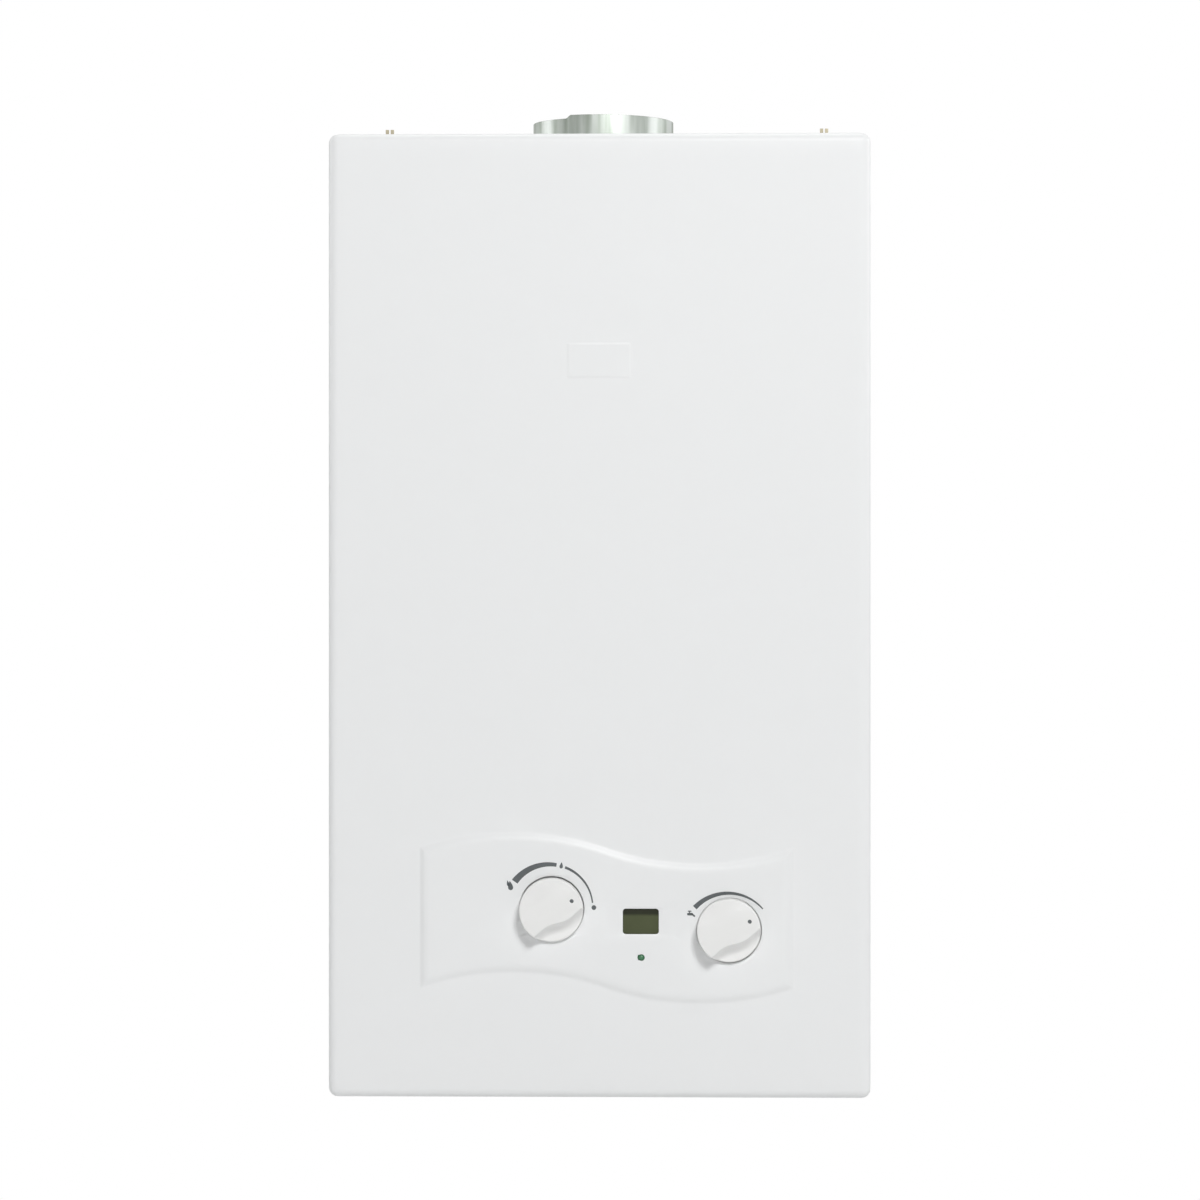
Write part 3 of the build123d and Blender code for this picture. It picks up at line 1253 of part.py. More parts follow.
def battery_bracket():
    """The strap that carries the battery box."""
    return shelf_bracket(span(BATTERY_X, BATTERY_STRAP_WIDTH), battery_high - BATTERY_STRAP_FLANGE,
                         battery_rear, BATTERY_STRAP_FLANGE)


# Ignition unit and leads

def ignition_unit():
    """The moulded ignition unit on the back plate."""
    unit = box((unit_left, unit_right), (unit_front, frame_face), (unit_low, unit_high))
    return fillet(unit.edges().group_by(Axis.Y)[0], UNIT_EDGE)


def overheat_thermostat():
    """A thermostat on a clip about the hot pipe."""
    inner = PIPE_RADIUS + RUNNING_FIT
    outer = inner + CLIP_GAUGE
    stat = rod_z(hot_pipe_x, hot_pipe_y, span(overheat_z, CLIP_HEIGHT), outer)
    stat += rod_y(hot_pipe_x, (hot_pipe_y - outer - STAT_DEPTH, hot_pipe_y), overheat_z, CLIP_STAT_RADIUS)
    return stat - rod_z(hot_pipe_x, hot_pipe_y, span(overheat_z, 2 * CLIP_HEIGHT), inner)


def ignition_leads():
    """The spark and flame-sensing leads, from the electrodes to the top of the ignition unit."""
    front = manifold_front - SPARK_LEAD_RADIUS - LEAD_GAP
    leads = []
    for i, x in enumerate(electrode_places):
        level = burner_bottom - LEAD_TAIL + i * LEAD_SPACING
        down = (unit_left + unit_right) / 2 + i * LEAD_SPACING
        route = [
            (x, insulator_front, electrode_z),
            (x, front, electrode_z),
            (x, front, level),
            (down, front, level),
            (down, unit_y, level),
            (down, unit_y, unit_high),
        ]
        leads.append(lead(route, SPARK_LEAD_RADIUS))
    return Compound(leads)


def control_leads():
    """Leads from the batteries, display, solenoid and flow switch to the ignition unit."""
    above = housing_high + LEAD_TAIL
    display_y = (glass_front + fascia_front) / 2
    cell_x = BATTERY_X - BATTERY_STRAP_WIDTH / 2 - LEAD_SPACING
    cell_z = (battery_low + battery_high) / 2
    coil_x = gas_left - SOLENOID_LENGTH / 2
    coil_top = solenoid_z + SOLENOID_RADIUS
    switch_top = switch_low + SWITCH_HEIGHT
    level = unit_low + UNIT_HEIGHT / 2
    battery = [(cell_x, battery_rear, cell_z), (cell_x, (battery_rear + unit_y) / 2, cell_z),
               (cell_x, unit_y, (cell_z + unit_low) / 2), (cell_x, unit_y, unit_low)]
    display = [(DISPLAY_X, display_y, housing_high), (DISPLAY_X, display_y, above),
               (coil_x, display_y, above), (coil_x, unit_y, level), (unit_right, unit_y, level)]
    solenoid = [(coil_x, valve_y, coil_top), (coil_x, valve_y, coil_top + LEAD_TAIL),
                (coil_x, unit_y, level - LEAD_SPACING), (unit_right, unit_y, level - LEAD_SPACING)]
    switch = [(lever_x, valve_y, switch_top), (lever_x, valve_y, switch_top + LEAD_TAIL),
              (lever_x, unit_y, level + LEAD_SPACING), (unit_right, unit_y, level + LEAD_SPACING)]
    return Compound([lead(route, LEAD_RADIUS) for route in (battery, display, solenoid, switch)])


def sensor_leads():
    """Leads from the spill and overheat thermostats down the left side to the ignition unit."""
    inner = hot_pipe_x - PIPE_RADIUS - LEAD_SPACING
    outer = inner - LEAD_SPACING
    level = unit_high + LEAD_TAIL
    spill_y = chamber_front - STAT_DEPTH / 2
    stat_y = hot_pipe_y - PIPE_RADIUS - CLIP_GAUGE - STAT_DEPTH / 2
    stat_z = overheat_z - CLIP_STAT_RADIUS
    spill = [(SPILL_STAT_X - STAT_RADIUS, spill_y, spill_z), (outer, spill_y, spill_z),
             (outer, spill_y, level), (outer, unit_y, level), (outer, unit_y, unit_high)]
    overheat = [(hot_pipe_x, stat_y, stat_z), (hot_pipe_x, stat_y, stat_z - LEAD_TAIL),
                (inner, stat_y, stat_z - 3 * LEAD_TAIL), (inner, stat_y, level),
                (inner, unit_y, level), (inner, unit_y, unit_high)]
    return Compound([lead(route, LEAD_RADIUS) for route in (spill, overheat)])


PIECES = {
    "front_cover": front_cover,
    "cover_screws": cover_screws,
    "back_frame": back_frame,
    "hanger_ears": hanger_ears,
    "wall_spacers": wall_spacers,
    "flue_collar": flue_collar,
    "draught_hood": draught_hood,
    "hood_baffle": hood_baffle,
    "spill_thermostat": spill_thermostat,
    "chamber_shell": chamber_shell,
    "fin_block": fin_block,
    "return_bends": return_bends,
    "chamber_coil": chamber_coil,
    "exchanger_bracket": exchanger_bracket,
    "hot_outlet_pipe": hot_outlet_pipe,
    "hot_outlet_union": lambda: water_union(-connection_x),
    "cold_inlet_pipe": cold_inlet_pipe,
    "cold_inlet_union": lambda: water_union(connection_x),
    "gas_inlet_pipe": gas_inlet_pipe,
    "gas_inlet_union": gas_inlet_union,
    "burner_frame": burner_frame,
    "burner_bars": burner_bars,
    "gas_manifold": gas_manifold,
    "injectors": injectors,
    "manifold_brackets": manifold_brackets,
    "gas_feed_pipe": gas_feed_pipe,
    "electrode_bracket": electrode_bracket,
    "electrode_insulators": electrode_insulators,
    "electrode_rods": electrode_rods,
    "gas_valve_body": gas_valve_body,
    "gas_tap_spindle": gas_tap_spindle,
    "gas_valve_disc": gas_valve_disc,
    "gas_valve_spring": gas_valve_spring,
    "solenoid_coil": solenoid_coil,
    "solenoid_plunger": solenoid_plunger,
    "water_valve_body": water_valve_body,
    "water_valve_cover": water_valve_cover,
    "diaphragm": diaphragm,
    "diaphragm_rod": diaphragm_rod,
    "water_selector_spindle": water_selector_spindle,
    "water_valve_screws": water_valve_screws,
    "drain_plug": drain_plug,
    "microswitch": microswitch,
    "switch_lever": switch_lever,
    "valve_bracket": valve_bracket,
    "fascia_bracket": fascia_bracket,
    "display_housing": display_housing,
    "display_glass": display_glass,
    "indicator_lamp": indicator_lamp,
    "gas_knob": lambda: knob(GAS_KNOB_X, gas_knob_z),
    "water_knob": lambda: knob(WATER_KNOB_X, water_knob_z),
    "battery_box": battery_box,
    "battery_cells": battery_cells,
    "battery_lid": battery_lid,
    "battery_bracket": battery_bracket,
    "ignition_unit": ignition_unit,
    "overheat_thermostat": overheat_thermostat,
    "ignition_leads": ignition_leads,
    "control_leads": control_leads,
    "sensor_leads": sensor_leads,
}

os.makedirs("parts", exist_ok=True)
for name, make in PIECES.items():
    export_step(make(), f"parts/{name}.step")
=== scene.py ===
import json
import math
from collections import namedtuple

import bpy
import numpy as np
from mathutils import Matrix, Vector


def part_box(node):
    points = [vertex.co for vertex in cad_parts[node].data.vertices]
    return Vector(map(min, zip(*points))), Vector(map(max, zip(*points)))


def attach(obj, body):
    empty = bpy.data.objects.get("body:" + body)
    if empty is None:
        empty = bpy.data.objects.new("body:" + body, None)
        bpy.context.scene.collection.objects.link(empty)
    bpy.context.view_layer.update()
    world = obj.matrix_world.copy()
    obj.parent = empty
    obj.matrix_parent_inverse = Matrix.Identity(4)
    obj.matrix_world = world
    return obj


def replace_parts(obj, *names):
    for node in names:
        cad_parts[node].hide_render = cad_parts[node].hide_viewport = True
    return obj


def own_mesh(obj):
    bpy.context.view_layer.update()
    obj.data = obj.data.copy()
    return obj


# Dressed model of a wall-hung gas water heater. Shapes are worked out in millimetres, in the frame of the
# CAD model: X to the viewer's right, Y into the wall, Z up. Places come from the CAD nodes' own boxes.

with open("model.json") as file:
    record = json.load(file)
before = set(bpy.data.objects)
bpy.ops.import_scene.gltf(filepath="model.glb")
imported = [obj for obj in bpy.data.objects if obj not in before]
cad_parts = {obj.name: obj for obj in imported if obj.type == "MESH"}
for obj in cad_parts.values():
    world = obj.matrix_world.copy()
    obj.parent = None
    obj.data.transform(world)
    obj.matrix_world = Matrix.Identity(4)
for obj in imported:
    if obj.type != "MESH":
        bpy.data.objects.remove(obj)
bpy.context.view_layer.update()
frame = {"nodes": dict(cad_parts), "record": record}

MM = 0.001
SWAP_LAST_TWO = [0, 2, 1]


def cad_span(node):
    """A CAD node's lowest and highest corner, in millimetres."""
    low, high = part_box(node)
    return np.array(low) / MM, np.array(high) / MM


def cad_middle(node):
    """The middle of a CAD node's box, in millimetres."""
    low, high = cad_span(node)
    return (low + high) / 2


# Camera and stage
CAMERA_DISTANCE = 3500.0
CAMERA_YAW_DEGREES = 1.6
PHOTO_PIXELS = 1200
MM_PER_PIXEL = 0.847
AIM_X = 0.9
AIM_Z = -410.0
SENSOR_WIDTH = 36.0
FLOOR_DROP = 400.0
FLOOR_HALF = 14000.0
FLOOR_CLEAR_START = 900.0
FLOOR_CLEAR_END = 1900.0
FLOOR_STEPS = 9
FLOOR_LIGHT = (0.93, 0.93, 0.93)
FLOOR_DARK = (0.91, 0.91, 0.91)
FLOOR_TONE_SCALE = 2.0
FLOOR_ROUGHNESS = 0.7
CAMERA_REACH = 60000.0
SEEN_RAYS = ("Is Camera Ray", "Is Glossy Ray", "Is Transmission Ray")
SKY_COLOUR = (1.0, 1.0, 1.0)
SKY_STRENGTH = 0.13
LAMP_AIM = (0.0, -250.0, -410.0)
# Softboxes: place, side length and power
SOFTBOXES = {
    "key_softbox": ((1100.0, -3700.0, 2000.0), 1200.0, 116.0),
    "fill_softbox": ((-1900.0, -2500.0, -780.0), 850.0, 5.5),
    "rim_left_softbox": ((-2600.0, 400.0, 500.0), 1200.0, 18.0),
    "rim_right_softbox": ((2600.0, 400.0, 500.0), 1200.0, 18.0),
    "rim_top_softbox": ((0.0, 500.0, 2400.0), 1200.0, 17.0),
}

# Finishes: two tones, the scale of their clouds, lowest and highest roughness, the grain's scale and depth,
# and how far the finish is metal and has a clear coat
FINISH_FIELDS = "light dark tone_scale rough grain_scale grain_depth metallic coat"
Finish = namedtuple("Finish", FINISH_FIELDS, defaults=(0.0, 0.0))
FINISHES = {
    "white_enamel": Finish((0.86, 0.87, 0.872), (0.857, 0.867, 0.869), 2, (0.42, 0.43), 620, 0.008, 0.0, 0.06),
    "white_plastic": Finish((0.868, 0.869, 0.858), (0.86, 0.861, 0.85), 30, (0.32, 0.38), 1800, 0.004),
    "galvanised": Finish((0.64, 0.66, 0.65), (0.56, 0.58, 0.57), 14, (0.30, 0.42), 900, 0.004, 0.85),
    "rolled_zinc": Finish((0.55, 0.575, 0.56), (0.48, 0.505, 0.485), 14, (0.49, 0.54), 900, 0.004, 0.9),
    "yellow_zinc": Finish((0.42, 0.38, 0.28), (0.34, 0.31, 0.23), 45, (0.28, 0.42), 900, 0.004, 0.9),
    "rubber": Finish((0.040, 0.040, 0.042), (0.028, 0.028, 0.030), 60, (0.65, 0.80), 1200, 0.02),
    "copper": Finish((0.78, 0.40, 0.25), (0.68, 0.32, 0.19), 18, (0.24, 0.40), 700, 0.004, 1.0),
    "brass": Finish((0.79, 0.62, 0.30), (0.68, 0.51, 0.22), 25, (0.26, 0.40), 700, 0.006, 1.0),
    "die_cast": Finish((0.66, 0.67, 0.68), (0.56, 0.57, 0.58), 30, (0.42, 0.58), 500, 0.03, 0.9),
    "steel": Finish((0.58, 0.59, 0.60), (0.48, 0.49, 0.50), 35, (0.28, 0.44), 900, 0.006, 1.0),
    "black_plastic": Finish((0.042, 0.042, 0.045), (0.030, 0.030, 0.033), 30, (0.42, 0.58), 1400, 0.02),
    "grey_plastic": Finish((0.36, 0.37, 0.38), (0.31, 0.32, 0.33), 30, (0.45, 0.60), 1400, 0.02),
    "display_glass": Finish((0.082, 0.094, 0.046), (0.074, 0.086, 0.041), 60, (0.16, 0.22), 1500, 0.001),
    "green_lamp": Finish((0.036, 0.15, 0.068), (0.03, 0.125, 0.056), 300, (0.18, 0.26), 2500, 0.002, 0.0, 0.5),
    "ceramic": Finish((0.88, 0.86, 0.80), (0.80, 0.77, 0.70), 60, (0.14, 0.24), 600, 0.006, 0.0, 0.3),
    "wire_cover": Finish((0.50, 0.075, 0.055), (0.38, 0.05, 0.04), 80, (0.38, 0.50), 1600, 0.01),
    "cell_jacket": Finish((0.03, 0.032, 0.038), (0.02, 0.021, 0.025), 40, (0.25, 0.34), 800, 0.002, 0.0, 0.3),
    "panel_ink": Finish((0.108, 0.120, 0.124), (0.092, 0.102, 0.106), 120, (0.40, 0.52), 2500, 0.003),
}
ROUGH_SCALE_RATIO = 2
NOISE_LOW = 0.28
NOISE_HIGH = 0.72
CLOUD_DETAIL = 3.0
GRAIN_DETAIL = 2.0
SPANGLE_SCALE = 80
SPANGLE_CLOUD_SHARE = 0.35
SPANGLE_DARK = (0.47, 0.495, 0.48)
STREAK_SCALE = 55
STREAK_SQUEEZE_SHARES = (1.0, 1.0, 0.12)
STREAK_DARK = (0.15, 0.18, 0.14)
LEVEL_WANDER = 1.5
HEAT_SCALE = 40.0
HEAT_BROWN = (0.42, 0.20, 0.13)
COAT_ROUGHNESS = 0.28
DISPLAY_SPECULAR = 0.2
# Painted shade along the display's top, as if cast by the window's edge: where it starts and ends below the
# window's top, the scale of its wandering edge, and its colour
DISPLAY_BAND = 6.4
DISPLAY_BAND_END = 3.0
DISPLAY_BAND_SCALE = 90.0
DISPLAY_PAINTED_SHADE = (0.024, 0.027, 0.014)
LAMP_GLOW = 0.15
LAMP_GLOW_COLOUR = (0.02, 0.20, 0.05)

# Node sockets: kinds, and the numbers of a colour mix's sockets
FLOAT, VECTOR, COLOUR = "NodeSocketFloat", "NodeSocketVector", "NodeSocketColor"
MIX_SHARE, MIX_FIRST, MIX_SECOND, MIX_COLOUR = 0, 6, 7, 2

# Front cover
EDGE_RADIUS = 8.0
EDGE_STEPS = 6
COVER_GAUGE = 0.8
PANEL_PROUD = 3.0
PANEL_WIDTH = 315.4
PANEL_HEIGHT = 117.8
PANEL_WAVE = 13.2
PANEL_X = 6.3
PANEL_RISE = 93.8
PANEL_SLOPE = 9.3
PANEL_ROLL = 2.6
PANEL_EDGE_ROUND = 0.8
BADGE_WIDTH = 54.0
BADGE_HEIGHT = 30.0
BADGE_RISE = 625.0
BADGE_PROUD = 0.4
BADGE_SLOPE = 1.6
RECESS_WIDTH = 70.0
RECESS_HEIGHT = 34.0
RECESS_DEPTH = 0.6
RECESS_SLOPE = 7.5
WINDOW_WIDTH = 30.5
WINDOW_HEIGHT = 21.5
WINDOW_CORNER = 2.5
WINDOW_CORNER_SHARES = (0, 0.3, 0.65, 1)
WINDOW_ASIDE = -0.5
WINDOW_LIP = 0.5
WINDOW_LIP_WIDTH = 1.2
KNOB_HOLE_GAP = 0.75
GAS_HOLE_X, GAS_HOLE_Z = 0.0, 0.6
WATER_HOLE_X, WATER_HOLE_Z = 0.2, -0.45
KNOB_LIP = 0.8
KNOB_LIP_WIDTH = 2.2
KNOB_RING_IN = 24.0
KNOB_RING_OUT = 33.0
LAMP_HOLE_RADIUS = 2.9
LAMP_RING_IN = 2.4
LAMP_RING_OUT = 6.0
NOTCH_GAP = 6.0
NOTCH_RING_IN = 58.0
NOTCH_RING_OUT = 82.0
BOTTOM_LIP = 30.0
BOTTOM_STRIP = 22.0
SCREW_INSET = 12.0
SCREW_FROM_REAR = 18.0
SCREW_SLOT_HALF = 2.4
VENT_COUNT = 7
VENT_LENGTH = 70.0
VENT_WIDTH = 5.0
VENT_PITCH = 14.0
VENT_DROP = 62.0
PLAIN_STEP = 14.0
PANEL_STEP = 3.2
WAVE_STEP = 1.0
SLOPE_STEP = 0.6
SLOPE_MARGIN = 1.0
LAMP_STEP = 1.2
RING_STEP = 3.0
SIDE_STEP = 28.0
NOTCH_STEP = 6.0
LINE_KEEP_SHARE = 0.55
LINE_DIGITS = 6
NEAR_FACE = 1.0
SHARP_DEGREES = 40.0
LEAST_LENGTH = 1e-9
ON_LINE = 1e-3

# Knobs: each node and the body that it turns with
KNOB_BODIES = {"gas_knob": "gas_control", "water_knob": "water_control"}
KNOB_TILT_DEGREES = 25.0
KNOB_BASE = 4.2
KNOB_TURNS = 240
KNOB_RINGS = 64
KNOB_RIM = 1.2
KNOB_RIM_STEPS = 5
KNOB_WALL = 2.0
KNOB_FLANGE = 2.2
KNOB_FLANGE_GAUGE = 1.5
KNOB_HUB = 7.0
KNOB_SOCKET = 4.05
KNOB_SOCKET_DEPTH = 12.0
KNOB_SHARP_DEGREES = 60.0
GRIP_HALF = 11.8
GRIP_TAPER = 1.6
GRIP_SWELL = 1.5
GRIP_SWELL_LENGTH = 18.0
GRIP_ROUND = 0.35
GRIP_WALL = 11.0
GRIP_HOLLOW = 2.8
UPPER_ROUND = 2.5
UPPER_WALL = 14.0
UPPER_HOLLOW = 1.8
UPPER_SCOOP = 3.2
GRIP_CROWN = 0.8
POINTER_RADIUS = 1.8
POINTER_REACH = 19.2
POINTER_PROUD = 0.25
POINTER_SUNK = 0.6
POINTER_RINGS = 4
POINTER_TURNS = 32

# Flue collar
COLLAR_RADIUS = 62.0
COLLAR_GAUGE = 1.0
COLLAR_FLANGE = 12.0
COLLAR_FLANGE_GAUGE = 1.2
COLLAR_FOOT = 1.5
COLLAR_SEAM_DEGREES = -120.0
COLLAR_SEAM_DROP = 2.8
COLLAR_CORNER = 5.0
COLLAR_CORNER_STEPS = 8
COLLAR_RIM_BELOW = 1.2
COLLAR_TURNS = 160
COLLAR_RIM_STEPS = 5

# Valve spring
SPRING_TURNS = 6
SPRING_WIRE_RADIUS = 0.7
SPRING_TURN_STEPS = 40
SPRING_WIRE_SIDES = 14

# Printed scales: places are measured from the knob's middle
PRINT_PROUD = 0.06
PRINT_GAUGE = 0.04
PRINT_STEPS = 48
GAS_SCALE_X, GAS_SCALE_Z = -0.8, 2.2
WATER_SCALE_X, WATER_SCALE_Z = -0.5, -7.6
OFF_SPOT_X, OFF_SPOT_Z, OFF_SPOT_RADIUS = 35.8, 1.7, 2.0
TAP_X, TAP_Z = -32.8, 13.3
FLAME_POINT = 1.4
BAR_SQUARENESS = 0.5
# Bands: degrees, inner radius and width, each from start to stop
GAS_WIDE_BAND = ((145.0, 82.0), (34.3, 34.3), (5.8, 3.1))
GAS_THIN_BAND = ((70.0, 5.5), (34.5, 35.05), (2.2, 1.1))
WATER_BAND = ((137.0, 41.0), (36.6, 38.2), (4.2, 1.0))
# Flames: x, z, width, height and how far the tip leans
FLAMES = {
    "big": (-34.7, 20.3, 3.0, 8.0, -0.8),
    "side": (-36.7, 22.3, 1.6, 5.0, -1.0),
    "small": (8.1, 37.5, 2.0, 5.5, 0.5),
}
# The tap's bars: x and z from the tap's place, length, thickness and turn in degrees
TAP_BARS = {
    "body": (0.0, 0.0, 5.0, 2.2, 0.0),
    "stem": (-0.4, 1.5, 0.9, 2.2, 0.0),
    "handle": (-0.4, 2.5, 3.2, 0.9, 0.0),
    "spout": (2.9, -1.0, 3.2, 1.5, -40.0),
}

# Places read from the CAD nodes
cover_low, cover_high = cad_span("front_cover")
panel_front = cover_low[1]
case_front = panel_front + PANEL_PROUD
cover_rear = cover_high[1]
case_bottom, case_top = cover_low[2], cover_high[2]
half_width = cover_high[0]
gas_knob = cad_middle("gas_knob")
water_knob = cad_middle("water_knob")
knob_low, knob_high = cad_span("gas_knob")
knob_radius = (knob_high[0] - knob_low[0]) / 2
knob_top, knob_rear = knob_low[1], knob_high[1]
window = cad_middle("display_glass") + [WINDOW_ASIDE, 0, 0]
lamp = cad_middle("indicator_lamp")
collar_low, collar_high = cad_span("flue_collar")
flue_y = cad_middle("flue_collar")[1]
panel_left = PANEL_X - PANEL_WIDTH / 2
panel_right = PANEL_X + PANEL_WIDTH / 2
panel_low = case_bottom + PANEL_RISE
panel_high = panel_low + PANEL_HEIGHT
badge_z = case_bottom + BADGE_RISE
knob_hole = knob_radius + KNOB_HOLE_GAP
hole_places = (gas_knob + [GAS_HOLE_X, 0, GAS_HOLE_Z], water_knob + [WATER_HOLE_X, 0, WATER_HOLE_Z])
knob_floor = panel_front - KNOB_BASE
heat_low, heat_high = (corner[2] for corner in cad_span("chamber_shell"))


# Mesh helpers

def ease(t):
    """Smooth step: 0 up to t = 0, 1 from t = 1, and level at both ends."""
    t = np.clip(t, 0, 1)
    return t * t * (3 - 2 * t)


def soften(distance, round_off):
    """The positive part of a distance, with the corner at zero rounded off."""
    return (distance + np.sqrt(distance ** 2 + round_off ** 2)) / 2


def grid_faces(index, wrap_rows=False, wrap_columns=False):
    """Quads between neighbouring entries of a table of vertex numbers."""
    if wrap_rows:
        index = np.vstack([index, index[:1]])
    if wrap_columns:
        index = np.hstack([index, index[:, :1]])
    corners = (index[:-1, :-1], index[1:, :-1], index[1:, 1:], index[:-1, 1:])
    return np.stack([corner.ravel() for corner in corners], axis=1)


def numbered(x):
    """Vertex numbers for a table of points."""
    return np.arange(x.size).reshape(x.shape)


def even_angles(count):
    """Even angles round a full turn."""
    return np.arange(count) * 2 * math.pi / count


def fan(pole, ring):
    """Triangles between a pole and a closed ring of vertex numbers."""
    return np.stack([np.full(len(ring), pole), ring, np.roll(ring, -1)], axis=1)


def as_points(x, y, z):
    """Tables of coordinates as one list of points."""
    return np.stack(np.broadcast_arrays(x, y, z), axis=-1).reshape(-1, 3)


def link_object(name, data):
    """A new object in the scene."""
    made = bpy.data.objects.new(name, data)
    bpy.context.scene.collection.objects.link(made)
    return made


def make_piece(name, points, faces, body, material, sharp=SHARP_DEGREES):
    """A mesh object from points in millimetres and tables of faces, which rides on a body."""
    mesh = bpy.data.meshes.new(name)
    face_lists = [face for table in faces for face in split_faces(table)]
    mesh.from_pydata((np.asarray(points, float) * MM).tolist(), [], face_lists)
    mesh.validate()
    mesh.shade_smooth()
    mesh.set_sharp_from_angle(angle=math.radians(sharp))
    mesh.materials.append(material)
    piece = link_object(name, mesh)
    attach(piece, body)
    return piece


def split_faces(faces):
    """A table of faces as lists, with a doubled corner taken out of those that have one."""
    doubled = faces == np.roll(faces, -1, axis=1)
    lists = faces[~doubled.any(axis=1)].tolist()
    for corner in range(faces.shape[1]):
        lists += np.delete(faces[doubled[:, corner]], corner, axis=1).tolist()
    return lists


def vertex_normals(points, faces):
    """The mean direction of the quads about each vertex, from the cross product of their diagonals."""
    across = np.cross(points[faces[:, 2]] - points[faces[:, 0]], points[faces[:, 3]] - points[faces[:, 1]])
    normals = np.zeros_like(points)
    for corner in range(faces.shape[1]):
        np.add.at(normals, faces[:, corner], across)
    return normals / np.maximum(np.linalg.norm(normals, axis=1, keepdims=True), LEAST_LENGTH)


def open_edges(faces):
    """The edges that only one face uses, in that face's own order."""
    following = np.roll(faces, -1, axis=1)
    edges = np.stack([faces.ravel(), following.ravel()], axis=1)
    edges = edges[edges[:, 0] != edges[:, 1]]
    low, high = edges.min(axis=1), edges.max(axis=1)
    key = low * (faces.max() + 1) + high
    _, first, uses = np.unique(key, return_index=True, return_counts=True)
    return edges[first[uses == 1]]


def thicken(points, faces, gauge):
    """A sheet of that gauge: the outside, a copy set back along the normals, and walls along open edges."""
    inside = points - gauge * vertex_normals(points, faces)
    count = len(points)
    edges = open_edges(faces)
    walls = np.stack([edges[:, 1], edges[:, 0], edges[:, 0] + count, edges[:, 1] + count], axis=1)
    return np.vstack([points, inside]), np.vstack([faces, faces[:, ::-1] + count, walls])


def grid_lines(ends, step, wanted, fine_runs):
    """Grid lines between two ends: the wanted ones, then fine runs, then even steps where there is room."""
    kept = np.unique(np.concatenate([ends, wanted]).round(LINE_DIGITS))
    for start, stop, spacing in [*fine_runs, (*ends, step)]:
        added = np.linspace(start, stop, max(2, round((stop - start) / spacing) + 1))
        room = np.abs(added[:, None] - kept[None, :]).min(axis=1)
        kept = np.sort(np.concatenate([kept, added[room > LINE_KEEP_SHARE * spacing]]))
    return kept


def ring_warp(u, v, inner, outer, radius):
    """Moves the square rings between two half-sizes so that the inner square becomes a circle."""
    size = np.maximum(np.maximum(np.abs(u), np.abs(v)), LEAST_LENGTH)
    share = np.clip((size - inner) / (outer - inner), 0, 1)
    square_u, square_v = u / size, v / size
    scale = (1 - share) * radius / np.hypot(square_u, square_v) + share * outer
    near = size < outer
    return np.where(near, square_u * scale, u), np.where(near, square_v * scale, v)


# Front cover

def wave(x):
    """The panel edge's rise and its slope: an arc up over the left half, the same arc down over the right."""
    half = PANEL_WIDTH / 2
    radius = ((half / 2) ** 2 + PANEL_WAVE ** 2) / (2 * PANEL_WAVE)
    along = np.clip(x - panel_left, 0, PANEL_WIDTH)
    side = np.where(along < half, 1.0, -1.0)
    from_crest = along - np.where(along < half, half / 2, 3 * half / 2)
    height = np.sqrt(radius ** 2 - from_crest ** 2)
    return side * (height - radius + PANEL_WAVE), -side * from_crest / height


def inside_box(x, z, middle_x, middle_z, width, height):
    """How far a point is inside a rectangle: positive inside, negative outside."""
    return np.minimum(width / 2 - np.abs(x - middle_x), height / 2 - np.abs(z - middle_z))


def front_relief(x, z):
    """How far the front stands proud of the plain face. The wavy panel rolls up from its outline as a power
    of the distance left. On smooth steps the badge pad rises, and the recess and the holes' lips sink."""
    rise, slope = wave(x)
    upright = 1 / np.sqrt(1 + slope ** 2)
    from_sides = np.minimum(x - panel_left, panel_right - x)
    from_waves = np.minimum(panel_high + rise - z, z - panel_low - rise) * upright
    inward = np.clip(soften(np.minimum(from_sides, from_waves), PANEL_EDGE_ROUND) / PANEL_SLOPE, 0, 1)
    relief = PANEL_PROUD * (1 - (1 - inward) ** PANEL_ROLL)
    badge = inside_box(x, z, 0, badge_z, BADGE_WIDTH, BADGE_HEIGHT)
    relief += BADGE_PROUD * ease(badge / BADGE_SLOPE)
    recess = inside_box(x, z, window[0], window[2], RECESS_WIDTH, RECESS_HEIGHT)
    relief -= RECESS_DEPTH * ease(recess / RECESS_SLOPE)
    opening = inside_box(x, z, window[0], window[2], WINDOW_WIDTH, WINDOW_HEIGHT)
    relief -= WINDOW_LIP * ease(1 + opening / WINDOW_LIP_WIDTH)
    for place in hole_places:
        past_hole = np.hypot(x - place[0], z - place[2]) - knob_hole
        relief -= KNOB_LIP * ease(1 - past_hole / KNOB_LIP_WIDTH)
    return relief


def beside(middle, *offsets):
    """Lines at each offset on both sides of a middle."""
    return [middle + side * offset for offset in offsets for side in (-1, 1)]


def window_offsets(half):
    """Offsets of the lines that carry the window's edge and its rounded corners."""
    return [half - WINDOW_CORNER * share for share in WINDOW_CORNER_SHARES]


def slope_runs(low, high, slope):
    """Runs of fine lines over the slopes just inside both ends of a raised or sunk area."""
    return [(low - SLOPE_MARGIN, low + slope + SLOPE_MARGIN, SLOPE_STEP),
            (high - slope - SLOPE_MARGIN, high + SLOPE_MARGIN, SLOPE_STEP)]


